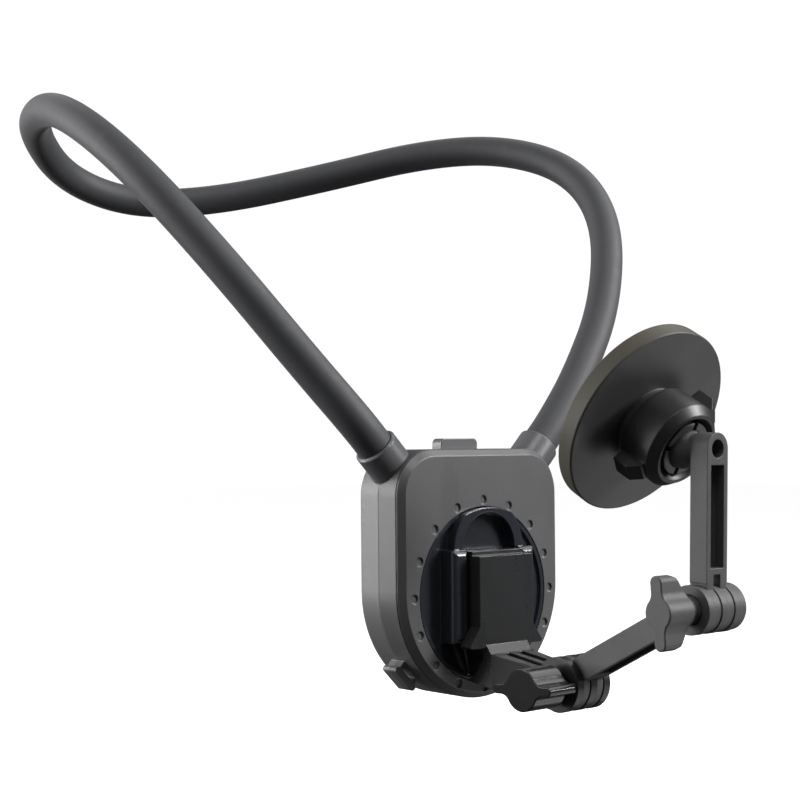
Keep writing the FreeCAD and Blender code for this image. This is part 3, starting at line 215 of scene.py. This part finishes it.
soft_lamp("BackLeftLamp", (-0.85, 0.55, 0.55), 0.5, 0.8, 4.5)
soft_lamp("LeftLamp", (-0.78, 0.82, 0.15), 0.55, 0.5, 8.0)
soft_lamp("FrontLamp", (-0.15, -0.5, 0.95), 0.4, 0.4, 3.5)
soft_lamp("FrontRightLamp", (0.8, -0.9, 0.5), 0.3, 0.25, 10.5)
soft_lamp("HighRightLamp", (0.7, -0.75, 0.8), 0.5, 0.5, 12.0)
soft_lamp("TopRightLamp", (0.6, -0.05, 0.85), 0.6, 0.6, 2.7)
soft_lamp("LowRightLamp", (0.7, -0.45, -0.6), 0.8, 0.8, 2.2)

# %% [markdown]
# ## Floor
#
# The mount is worn, so it stands on nothing. A pale sheet of paper lies well below it. Only the camera
# sees that sheet: it would throw light up under the arms, whose undersides are dark, and it would stand
# in the way of the low lamp.

# %% Floor
FLOOR_DROP, FLOOR_HALF = 0.12, 6.0
floor_level = solid_box[0][2] - FLOOR_DROP
floor_mesh = bpy.data.meshes.new("Floor")
builder = bmesh.new()
bmesh.ops.create_grid(builder, x_segments=2, y_segments=2, size=FLOOR_HALF)
bmesh.ops.translate(builder, verts=builder.verts, vec=(0, 0, floor_level))
builder.to_mesh(floor_mesh)
builder.free()
floor = bpy.data.objects.new("Floor", floor_mesh)
floor.visible_diffuse = False
floor.visible_glossy = False
floor.visible_shadow = False
bpy.context.scene.collection.objects.link(floor)
print("floor at", round(floor_level, 3))

# %% [markdown]
# ## Finishes
#
# Every part of the mount is black or nearly so, and still no two finishes match: the shells are spark
# textured, the disc and the buckle are polished, the arms are matt, and the tube is silicone. Each
# finish is one short formula on Object coordinates. A Bevel node rounds the moulded edges for the
# light, and the same node finds the edges, where handling polishes the plastic and where its colour is
# painted paler, partly as wear and partly as a painted highlight.

# %% The start of a finish
def start_finish(name):
    """A new material, its shader and the Object coordinates to paint by."""
    finish = bpy.data.materials.new(name)
    finish.use_nodes = True
    tree = finish.node_tree
    place = Wire(tree, tree.nodes.new("ShaderNodeTexCoord").outputs["Object"])
    print("finish", name)
    return finish, tree.nodes["Principled BSDF"], place


def give(shader, **inputs):
    """Sets sockets of a shader, by value or by wire."""
    for key, value in inputs.items():
        socket = shader.inputs[key.replace("_", " ")]
        if isinstance(value, Wire):
            value.tree.links.new(value.socket, socket)
        else:
            socket.default_value = value


# %% A moulded plastic
CLOUD_SIZE, SMEAR_SIZE = 0.03, 0.012
DARKER, PALER = 0.72, 1.5


def soft_edges(place, radius):
    """The rounded normal of moulded edges, and how near an edge each point is."""
    rounded = place.make("ShaderNodeBevel", {"samples": 6}, {"Radius": radius})
    flat = place.make("ShaderNodeNewGeometry", {}, {}, "Normal")
    match = rounded.vectors("DOT_PRODUCT", flat, "Value")
    return rounded, (1 - match).step(0.01, 0.2)


def plastic(shader, place, tone, roughness, grain, depth, edge=0.0006, wear=0.5, shine=0.5):
    """Moulded plastic: fine grain, slow clouds in its tone, and edges that handling has polished, their
    colour painted paler partly as wear and partly as a painted highlight.
    """
    rounded, near_edge = soft_edges(place, edge)
    clouds = place.noise(CLOUD_SIZE, 3.0)
    specks = place.noise(grain, 2.0, 0.6)
    smears = place.noise(SMEAR_SIZE, 4.0, 0.6, (1.0, 1.0, 0.35)).step(0.5, 0.75)
    # Edges are painted paler here: partly wear from handling, partly a painted highlight along the edges.
    mix = 0.55 * clouds + 0.3 * specks + wear * near_edge
    dark = tuple(channel * DARKER for channel in tone)
    pale = tuple(channel * PALER for channel in tone)
    relief = {"Strength": 1.0, "Distance": depth, "Height": specks, "Normal": rounded}
    give(
        shader,
        Base_Color=mix.shade(dark, pale),
        Roughness=roughness + 0.1 * (specks - 0.5) - 0.06 * smears - 0.08 * near_edge,
        Normal=place.make("ShaderNodeBump", {}, relief),
        Specular_IOR_Level=shine,
    )


def moulded(name, tone, **look):
    """A finish of one moulded plastic."""
    finish, shader, place = start_finish(name)
    plastic(shader, place, tone, **look)
    return finish


# %% Plastics of the plate
SPARK, SATIN, RIPPLE = 0.0006, 0.0005, 0.0025
rear_plastic = moulded(
    "RearPlastic", (0.105, 0.105, 0.108), roughness=0.44, grain=SPARK, depth=0.00009, shine=0.6
)
shell_plastic = moulded(
    "SidePlastic", (0.070, 0.070, 0.073), roughness=0.42, grain=SPARK, depth=0.00005, shine=0.4
)
cover_plastic = moulded(
    "CoverPlastic", (0.074, 0.074, 0.077), roughness=0.4, grain=SPARK, depth=0.00004
)
socket_plastic = moulded(
    "SocketPlastic", (0.085, 0.086, 0.091), roughness=0.36, grain=SPARK, depth=0.00003
)

# %% Plastics of the moving parts
polished_plastic = moulded(
    "PolishedPlastic",
    (0.020, 0.022, 0.027),
    roughness=0.18,
    grain=RIPPLE,
    depth=0.000012,
    edge=0.0007,
    wear=0.3,
)
buckle_plastic = moulded(
    "BucklePlastic",
    (0.019, 0.0195, 0.0205),
    roughness=0.3,
    grain=SPARK,
    depth=0.00002,
    edge=0.0004,
    shine=0.3,
)
arm_plastic = moulded(
    "ArmPlastic",
    (0.070, 0.070, 0.072),
    roughness=0.48,
    grain=SATIN,
    depth=0.00007,
    edge=0.0005,
    shine=0.25,
)
collar_plastic = moulded(
    "CollarPlastic", (0.015, 0.015, 0.016), roughness=0.4, grain=SATIN, depth=0.00003, shine=0.38
)

# %% [markdown]
# ## Two finishes on one moulding
#
# The hand knob has polished flanks and a flat outer face that was left spark matt. The magnet head has a
# dark face and a paler warm rim. Both are one moulding, so a mask from the part's own coordinates mixes
# two plastics on it: the way a face looks for the knob, and the distance from the axis for the head.

# %% Two plastics by a mask
def two_plastics(name, mask_of, first, second):
    """Two plastics on one moulding, the second where the mask is 1."""
    finish, shader, place = start_finish(name)
    plastic(shader, place, **first)
    other = finish.node_tree.nodes.new("ShaderNodeBsdfPrincipled")
    plastic(other, place, **second)
    under, over = (Wire(place.tree, item.outputs[0]) for item in (shader, other))
    mixed = place.make("ShaderNodeMixShader", {}, {0: mask_of(place), 1: under, 2: over})
    surface = finish.node_tree.nodes["Material Output"].inputs["Surface"]
    finish.node_tree.links.new(mixed.socket, surface)
    return finish


# %% Knob
KNOB_SIDE = (-1, 0, 0)


def outer_face(place):
    """1 on faces that look outwards along the hinge's axis."""
    facing = place.make("ShaderNodeTexCoord", {}, {}, "Normal")
    return facing.vectors("DOT_PRODUCT", KNOB_SIDE, "Value").step(0.9, 0.98)


knob_plastic = two_plastics(
    "KnobPlastic",
    outer_face,
    {"tone": (0.012, 0.012, 0.013), "roughness": 0.22, "grain": RIPPLE, "depth": 0.000012},
    {
        "tone": (0.011, 0.011, 0.0115),
        "roughness": 0.6,
        "grain": SATIN,
        "depth": 0.00003,
        "wear": 0.3,
        "shine": 0.06,
    },
)

# %% Head
BALL = Vector((0, -110.994, 51.119)) * MM
HEAD_TILT = math.radians(29.5)
HEAD_AXIS = Vector((0, math.cos(HEAD_TILT), math.sin(HEAD_TILT)))
RIM_START, RIM_FULL = 0.0318, 0.0321


def head_rim(place):
    """1 on the head's rim, by the distance from the head's axis."""
    sideways = place.vectors("SUBTRACT", tuple(BALL)).vectors("CROSS_PRODUCT", tuple(HEAD_AXIS))
    distance = place.make("ShaderNodeVectorMath", {"operation": "LENGTH"}, {0: sideways}, "Value")
    return distance.step(RIM_START, RIM_FULL)


head_plastic = two_plastics(
    "HeadPlastic",
    head_rim,
    {"tone": (0.039, 0.039, 0.042), "roughness": 0.45, "grain": SATIN, "depth": 0.00003},
    {
        "tone": (0.066, 0.062, 0.050),
        "roughness": 0.48,
        "grain": SPARK,
        "depth": 0.00003,
        "shine": 0.15,
    },
)

# %% [markdown]
# ## Silicone, metals and rubber
#
# The tube's cover is soft silicone: matt, with a faint sheen at its edges, and it shows bloom, dust and
# rub marks. The screws, bolts and nuts are plated steel with drawn lines, which a noise stretched along
# one axis gives. The pad on the head's face is porous rubber. A plain dark colour would make them look
# like the same paint, so each has its own noises for tone, roughness and relief.

# %% Silicone of the neck tube
BLOOM_SIZE, DUST_SIZE, RUB_SIZE = 0.025, 0.0009, 0.006
SILICONE_DARK, SILICONE_PALE = (0.021, 0.0215, 0.0255), (0.047, 0.048, 0.055)


def make_silicone():
    """Matt silicone with a soft sheen, slow clouds of bloom and fine rub marks."""
    finish, shader, place = start_finish("SleeveSilicone")
    bloom = place.noise(BLOOM_SIZE, 3.0)
    dust = place.noise(DUST_SIZE, 2.0, 0.7)
    rubs = place.noise(RUB_SIZE, 4.0, 0.65).step(0.52, 0.8)
    tone = 0.5 * bloom + 0.3 * dust + 0.25 * rubs
    bump = place.make("ShaderNodeBump", {}, {"Strength": 0.6, "Distance": 0.00003, "Height": dust})
    give(
        shader,
        Base_Color=tone.shade(SILICONE_DARK, SILICONE_PALE),
        Roughness=0.62 + 0.12 * (dust - 0.5) - 0.08 * rubs,
        Normal=bump,
        Sheen_Weight=0.12,
        Sheen_Roughness=0.45,
    )
    return finish


silicone = make_silicone()

# %% Metals
LINE_SIZE, STAIN_SIZE, METAL_DARKER = 0.0004, 0.004, 0.75


def make_metal(name, tone, roughness, stretch):
    """Plated or bare metal with fine drawn lines."""
    finish, shader, place = start_finish(name)
    lines = place.noise(LINE_SIZE, 3.0, 0.6, stretch)
    stains = place.noise(STAIN_SIZE, 3.0)
    bump = place.make("ShaderNodeBump", {}, {"Strength": 0.4, "Distance": 0.00001, "Height": lines})
    dark = tuple(METAL_DARKER * channel for channel in tone)
    give(
        shader,
        Base_Color=(0.6 * lines + 0.4 * stains).shade(dark, tone),
        Roughness=roughness + 0.15 * (stains - 0.5),
        Metallic=1.0,
        Normal=bump,
    )
    return finish


black_steel = make_metal("BlackSteel", (0.16, 0.16, 0.17), 0.38, (1.0, 0.2, 1.0))
zinc_steel = make_metal("ZincSteel", (0.62, 0.63, 0.65), 0.32, (0.15, 1.0, 1.0))
nickel = make_metal("NickelPlate", (0.66, 0.63, 0.58), 0.25, (1.0, 1.0, 0.3))
soft_aluminium = make_metal("SoftAluminium", (0.74, 0.75, 0.76), 0.42, (1.0, 1.0, 0.4))
wire_steel = make_metal("WireSteel", (0.55, 0.55, 0.56), 0.35, (1.0, 1.0, 1.0))

# %% Rubber of the face pad
PORE_SIZE, RUBBER_CLOUD_SIZE = 0.0006, 0.014
RUBBER_DARK, RUBBER_PALE = (0.018, 0.018, 0.019), (0.04, 0.04, 0.042)


def make_pad_rubber():
    """Soft matt rubber with fine pores."""
    finish, shader, place = start_finish("PadRubber")
    pores = place.noise(PORE_SIZE, 2.0, 0.7)
    clouds = place.noise(RUBBER_CLOUD_SIZE, 3.0)
    bump = place.make("ShaderNodeBump", {}, {"Strength": 0.8, "Distance": 0.00004, "Height": pores})
    give(
        shader,
        Base_Color=(0.6 * clouds + 0.4 * pores).shade(RUBBER_DARK, RUBBER_PALE),
        Roughness=0.72 + 0.12 * (pores - 0.5),
        Normal=bump,
    )
    return finish


pad_rubber = make_pad_rubber()

# %% [markdown]
# ## Paper of the floor
#
# A white sheet in a bright studio shows almost no shade of its own. The lamps here are aimed at the
# mount, so the paper glows a little by itself, and a slow noise keeps it from looking drawn.

# %% Paper of the floor
PAPER_CLOUD_SIZE, PAPER_GLOW = 0.6, 0.75
PAPER_DARK, PAPER_PALE = (0.93, 0.93, 0.93), (0.97, 0.97, 0.97)


def make_floor_finish():
    """Pale paper, a little uneven, with a glow of its own."""
    finish, shader, place = start_finish("FloorPaper")
    clouds = place.noise(PAPER_CLOUD_SIZE, 2.0)
    give(
        shader,
        Base_Color=clouds.shade(PAPER_DARK, PAPER_PALE),
        Roughness=0.8 + 0.05 * clouds,
        Emission_Color=(1.0, 1.0, 1.0, 1.0),
        Emission_Strength=PAPER_GLOW,
    )
    return finish


floor_mesh.materials.append(make_floor_finish())

# %% [markdown]
# ## Pieces from Geometry Nodes
#
# A node tree with named inputs makes what follows a path or repeats. The helpers below build such a tree,
# hang it on a starter object, set its inputs and turn the result into a plain mesh, because a
# finished piece carries no live modifier.

# %% Trees
def new_tree(name, numbers):
    """A tree with a geometry input and named number inputs, and wires that start at those inputs."""
    tree = bpy.data.node_groups.new(name, "GeometryNodeTree")
    tree.interface.new_socket("Geometry", in_out="INPUT", socket_type="NodeSocketGeometry")
    for number in numbers:
        tree.interface.new_socket(number, in_out="INPUT", socket_type="NodeSocketFloat")
    tree.interface.new_socket("Geometry", in_out="OUTPUT", socket_type="NodeSocketGeometry")
    source = tree.nodes.new("NodeGroupInput")
    wires = {socket.name: Wire(tree, socket) for socket in source.outputs if socket.name}
    print("tree", name, "with inputs", list(wires))
    return tree, wires


def end_tree(tree, shape, finish):
    """The end of every tree: real meshes instead of instances, and the finish."""
    real = shape.make("GeometryNodeRealizeInstances", {}, {0: shape})
    painted = shape.make("GeometryNodeSetMaterial", {}, {"Geometry": real, "Material": finish})
    tree.links.new(painted.socket, tree.nodes.new("NodeGroupOutput").inputs[0])


def grown(name, starter_data, tree, numbers):
    """What a tree makes of a starter, as a plain mesh object at the origin."""
    starter = bpy.data.objects.new(name + "Starter", starter_data)
    bpy.context.scene.collection.objects.link(starter)
    modifier = starter.modifiers.new("Tree", "NODES")
    modifier.node_group = tree
    items = tree.interface.items_tree
    sockets = {item.name: item.identifier for item in items if item.in_out == "INPUT"}
    for number, value in numbers.items():
        modifier[sockets[number]] = value
    settled = bpy.context.evaluated_depsgraph_get()
    mesh = bpy.data.meshes.new_from_object(starter.evaluated_get(settled), depsgraph=settled)
    starter.modifiers.remove(modifier)
    bpy.data.objects.remove(starter)
    mesh.name = name
    piece = bpy.data.objects.new(name, mesh)
    bpy.context.scene.collection.objects.link(piece)
    print(name, "has", len(mesh.polygons), "faces")
    return piece


# %% [markdown]
# ## Neck sleeve
#
# The bendable rod is covered by a smooth silicone sleeve, and the loop was bent by hand, so its line has no
# straight runs. A smooth spline on the route's points gives that line. The tree sweeps a circle along
# it. One more point in each socket keeps the ends straight where they are held.

# %% Line of the neck loop
SOCKET_X, SOCKET_Y, SOCKET_Z = 23.0, -9.4, 35.0
SOCKET_STOPS = (12.1, 24.0, 36.0)
SLOPE = math.sqrt(0.5)
LOOP = [
    (-60.5, 1.5, 79.5), (-82.5, 22.5, 116.5), (-98.5, 50.0, 150.0), (-102.0, 84.0, 172.5),
    (-91.0, 129.0, 186.0), (-72.5, 174.0, 186.0), (-44.0, 197.0, 171.0), (-9.0, 196.0, 162.5),
    (27.0, 179.5, 166.0), (63.5, 150.0, 176.0), (93.0, 112.0, 185.5), (109.5, 76.5, 184.5),
    (116.0, 41.5, 171.5), (110.0, 16.0, 146.0), (90.0, 0.0, 109.0), (66.0, -7.0, 79.0),
]


def in_socket(side):
    """The points of the tube's end in one socket, from the inside outwards."""
    ways = [SLOPE * stop for stop in SOCKET_STOPS]
    return [(side * (SOCKET_X + way), SOCKET_Y, SOCKET_Z + way) for way in ways]


route = in_socket(-1) + LOOP + in_socket(1)[::-1]
line = bpy.data.curves.new("NeckLine", "CURVE")
line.dimensions = "3D"
spline = line.splines.new("NURBS")
spline.points.add(len(route) - 1)
for point, place_mm in zip(spline.points, route):
    point.co = (*(Vector(place_mm) * MM), 1)
spline.order_u = 3
spline.use_endpoint_u = True
spline.resolution_u = 24
print("neck line has", len(route), "points")

# %% Sleeve
TUBE_RADIUS, RING_LENGTH, TUBE_SIDES = 6.5, 2.2, 48
tree, wires = new_tree("SleeveTree", ("Tube radius", "Ring length"))
path = wires["Geometry"]
spacing = {"Curve": path, "Length": wires["Ring length"]}
rings = path.make("GeometryNodeResampleCurve", {"mode": "LENGTH"}, spacing)
round_wall = {"Resolution": TUBE_SIDES, "Radius": wires["Tube radius"]}
section = path.make("GeometryNodeCurvePrimitiveCircle", {}, round_wall)
along = {"Curve": rings, "Profile Curve": section, "Fill Caps": True}
swept = path.make("GeometryNodeCurveToMesh", {}, along)
smooth = path.make("GeometryNodeSetShadeSmooth", {}, {"Geometry": swept})
end_tree(tree, smooth, silicone)
tube_sizes = {"Tube radius": TUBE_RADIUS * MM, "Ring length": RING_LENGTH * MM}
sleeve = grown("NeckSleeve", line, tree, tube_sizes)
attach(sleeve, "chest_plate")
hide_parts("neck_sleeve")

# %% [markdown]
# ## Screws
#
# Four screws close the plate from behind, and four more hold the index ring. All have a round head
# with a cross recess. The tree joins a cone and a shank to one blank, cuts it with two crossed bars, and
# sets a copy on each point of the starter. The shank starts inside the head, below the recess, so that no
# faces of the two lie on each other and the screw stays one closed shape.

# %% One screw
SCREW_SIZES = ("Head radius", "Head depth", "Shank radius", "Length")
HEAD_SIDES, SHANK_SIDES = 40, 24
TOP_SHARE, SHANK_START = 0.88, 0.7
BAR_LONG, BAR_SHORT = 1.15, 0.3
BACKWARDS = (-math.pi / 2, 0, 0)
tree, wires = new_tree("ScrewTree", SCREW_SIZES)
spots = wires["Geometry"]
radius, depth, shank_radius, length = (wires[size] for size in SCREW_SIZES)


def up_by(shape, height):
    """A shape moved along the screw."""
    shift = spots.make("ShaderNodeCombineXYZ", {}, {"Z": height})
    return spots.make("GeometryNodeTransform", {}, {"Geometry": shape, "Translation": shift})


def boolean(operation, inputs, parts):
    """A Boolean node on several parts."""
    settings = {"operation": operation, "solver": "EXACT"}
    result = spots.make("GeometryNodeMeshBoolean", settings, inputs)
    for part in parts:
        tree.links.new(part.socket, result.socket.node.inputs["Mesh 2"])
    return result


ends = {"Radius Top": TOP_SHARE * radius, "Radius Bottom": radius}
cone = spots.make("GeometryNodeMeshCone", {}, {"Vertices": HEAD_SIDES, **ends, "Depth": depth})
head = up_by(cone, -1.0 * depth)
covered = SHANK_START * depth
stem = {"Vertices": SHANK_SIDES, "Radius": shank_radius, "Depth": length - covered}
shank = up_by(spots.make("GeometryNodeMeshCylinder", {}, stem), -0.5 * (length + covered))
bars = []
for wide, tall in ((BAR_LONG, BAR_SHORT), (BAR_SHORT, BAR_LONG)):
    bar = {"X": wide * radius, "Y": tall * radius, "Z": depth}
    block = spots.make("ShaderNodeCombineXYZ", {}, bar)
    bars.append(spots.make("GeometryNodeMeshCube", {}, {"Size": block}))
blank = boolean("UNION", {}, (head, shank))
screw = boolean("DIFFERENCE", {"Mesh 1": blank}, bars)
copies = {"Points": spots, "Instance": screw, "Rotation": BACKWARDS}
end_tree(tree, spots.make("GeometryNodeInstanceOnPoints", {}, copies), black_steel)

# %% Both sets of screws
HEAD_TOP, POST_PLACES = -0.2, ((17.0, 44.0), (23.583, -23.013))
RING_HEAD_TOP, RING_CIRCLE = -11.5, 15.0
PLATE_SCREW, RING_SCREW = (1.9, 1.5, 1.0, 12.0), (2.4, 1.6, 1.25, 7.6)
COMPASS = ((1, 0), (-1, 0), (0, 1), (0, -1))


def screws(name, places, numbers, body, node):
    """A set of screws in place of a node's plain ones. Their heads look backwards."""
    dots = bpy.data.meshes.new(name + "Dots")
    dots.from_pydata([Vector(place_mm) * MM for place_mm in places], [], [])
    piece = grown(name, dots, tree, {size: number * MM for size, number in zip(SCREW_SIZES, numbers)})
    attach(piece, body)
    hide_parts(node)


on_posts = [(side * x, HEAD_TOP, z) for side in (-1, 1) for x, z in POST_PLACES]
screws("PlateScrews", on_posts, PLATE_SCREW, "chest_plate", "shell_screws")
on_ring = [(RING_CIRCLE * x, RING_HEAD_TOP, RING_CIRCLE * z) for x, z in COMPASS]
screws("RingScrews", on_ring, RING_SCREW, "rotary_disc", "ring_screws")

# %% [markdown]
# ## Button spring
#
# A small coil lifts the release button. A spiral gives its line, and a circle is swept along it.

# %% Button spring
COIL_RADIUS, COIL_WIRE, COIL_TURNS = 1.05, 0.25, 5.0
COIL_LOW, COIL_HIGH, COIL_Y = -34.35, -28.95, -14.5
STEPS_A_TURN, WIRE_SIDES = 24, 10
tree, wires = new_tree("SpringTree", ("Coil radius", "Wire radius", "Turns", "Height"))
start = wires["Geometry"]
both_ends = {"Start Radius": wires["Coil radius"], "End Radius": wires["Coil radius"]}
rise = {"Rotations": wires["Turns"], "Height": wires["Height"]}
coil = start.make("GeometryNodeCurveSpiral", {}, {"Resolution": STEPS_A_TURN, **both_ends, **rise})
round_wire = {"Resolution": WIRE_SIDES, "Radius": wires["Wire radius"]}
section = start.make("GeometryNodeCurvePrimitiveCircle", {}, round_wire)
along = {"Curve": coil, "Profile Curve": section, "Fill Caps": True}
swept = start.make("GeometryNodeCurveToMesh", {}, along)
foot = Vector((0, COIL_Y, COIL_LOW)) * MM
stood = start.make("GeometryNodeTransform", {}, {"Geometry": swept, "Translation": tuple(foot)})
smooth = start.make("GeometryNodeSetShadeSmooth", {}, {"Geometry": stood})
end_tree(tree, smooth, wire_steel)
coil_sizes = {
    "Coil radius": COIL_RADIUS * MM,
    "Wire radius": COIL_WIRE * MM,
    "Turns": COIL_TURNS,
    "Height": (COIL_HIGH - COIL_LOW) * MM,
}
spring = grown("ButtonSpring", bpy.data.meshes.new("SpringStart"), tree, coil_sizes)

# %% Spring under the button
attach(spring, "chest_plate")
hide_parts("button_spring")
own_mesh(spring)

# %% [markdown]
# ## Face pad
#
# The pad on the head's face is a thin soft disc with a rounded rim. It is turned from its half section,
# as on a lathe, and then laid on the head's axis.

# %% Half section of the face pad
PAD_RADIUS, PAD_LOW, PAD_HIGH, PAD_ROUND = 30.0, 21.2, 22.7, 0.7
ROUND_STEPS = 6
section = [(0.0, PAD_LOW), (PAD_RADIUS, PAD_LOW)]
for step in range(ROUND_STEPS + 1):
    angle = math.pi / 2 * step / ROUND_STEPS
    inwards = PAD_ROUND * (1 - math.cos(angle))
    below = PAD_ROUND * (1 - math.sin(angle))
    section.append((PAD_RADIUS - inwards, PAD_HIGH - below))
section.append((0.0, PAD_HIGH))
print("half section has", len(section), "points")

# %% Face pad
PAD_SIDES, DOUBLE = 128, 1e-6
turn = {"axis": (0, 0, 1), "cent": (0, 0, 0), "steps": PAD_SIDES, "angle": 2 * math.pi}
builder = bmesh.new()
corners = [builder.verts.new((across_mm * MM, 0, up_mm * MM)) for across_mm, up_mm in section]
lines = [builder.edges.new(pair) for pair in zip(corners, corners[1:])]
bmesh.ops.spin(builder, geom=corners + lines, use_merge=True, **turn)
bmesh.ops.remove_doubles(builder, verts=builder.verts, dist=DOUBLE)
bmesh.ops.recalc_face_normals(builder, faces=builder.faces)
lean = Matrix.Rotation(math.pi / 2 - HEAD_TILT, 4, Vector((-1, 0, 0)))
builder.transform(Matrix.Translation(BALL) @ lean)
for face in builder.faces:
    face.smooth = True
pad_mesh = bpy.data.meshes.new("FacePad")
builder.to_mesh(pad_mesh)
builder.free()
pad_mesh.materials.append(pad_rubber)
face_pad = bpy.data.objects.new("FacePad", pad_mesh)
bpy.context.scene.collection.objects.link(face_pad)
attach(face_pad, "magnet_head")
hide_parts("face_pad")
print("face pad has", len(pad_mesh.polygons), "faces")

# %% [markdown]
# ## Which part has which finish
#
# The other solids keep their shapes and take one of the finishes above. The solids that a finer piece
# stands for are hidden, and they get a finish as well, so that none is left plain.

# %% Which part has which finish
FINISHES = {
    "rear_shell": rear_plastic,
    "front_shell": shell_plastic,
    "front_cover": cover_plastic,
    "release_button": socket_plastic,
    "tube_socket_left": socket_plastic,
    "tube_socket_right": socket_plastic,
    "neck_sleeve": silicone,
    "gooseneck_core": soft_aluminium,
    "button_spring": wire_steel,
    "shell_screws": black_steel,
    "ring_screws": zinc_steel,
    "index_ring": collar_plastic,
    "rotary_disc": polished_plastic,
    "buckle": buckle_plastic,
    "knob_1": knob_plastic,
    "bolt_1": zinc_steel,
    "bolt_2": zinc_steel,
    "hinge_nut_1": zinc_steel,
    "hinge_nut_2": zinc_steel,
    "arm_lower": arm_plastic,
    "arm_upper": arm_plastic,
    "knob_2": arm_plastic,
    "head_base": head_plastic,
    "locking_collar": collar_plastic,
    "steel_plate": zinc_steel,
    "magnet_ring": nickel,
    "face_pad": pad_rubber,
}
for name, finish in FINISHES.items():
    nodes[name].data.materials.clear()
    nodes[name].data.materials.append(finish)
print("finishes given:", len(FINISHES), "of", len(nodes))
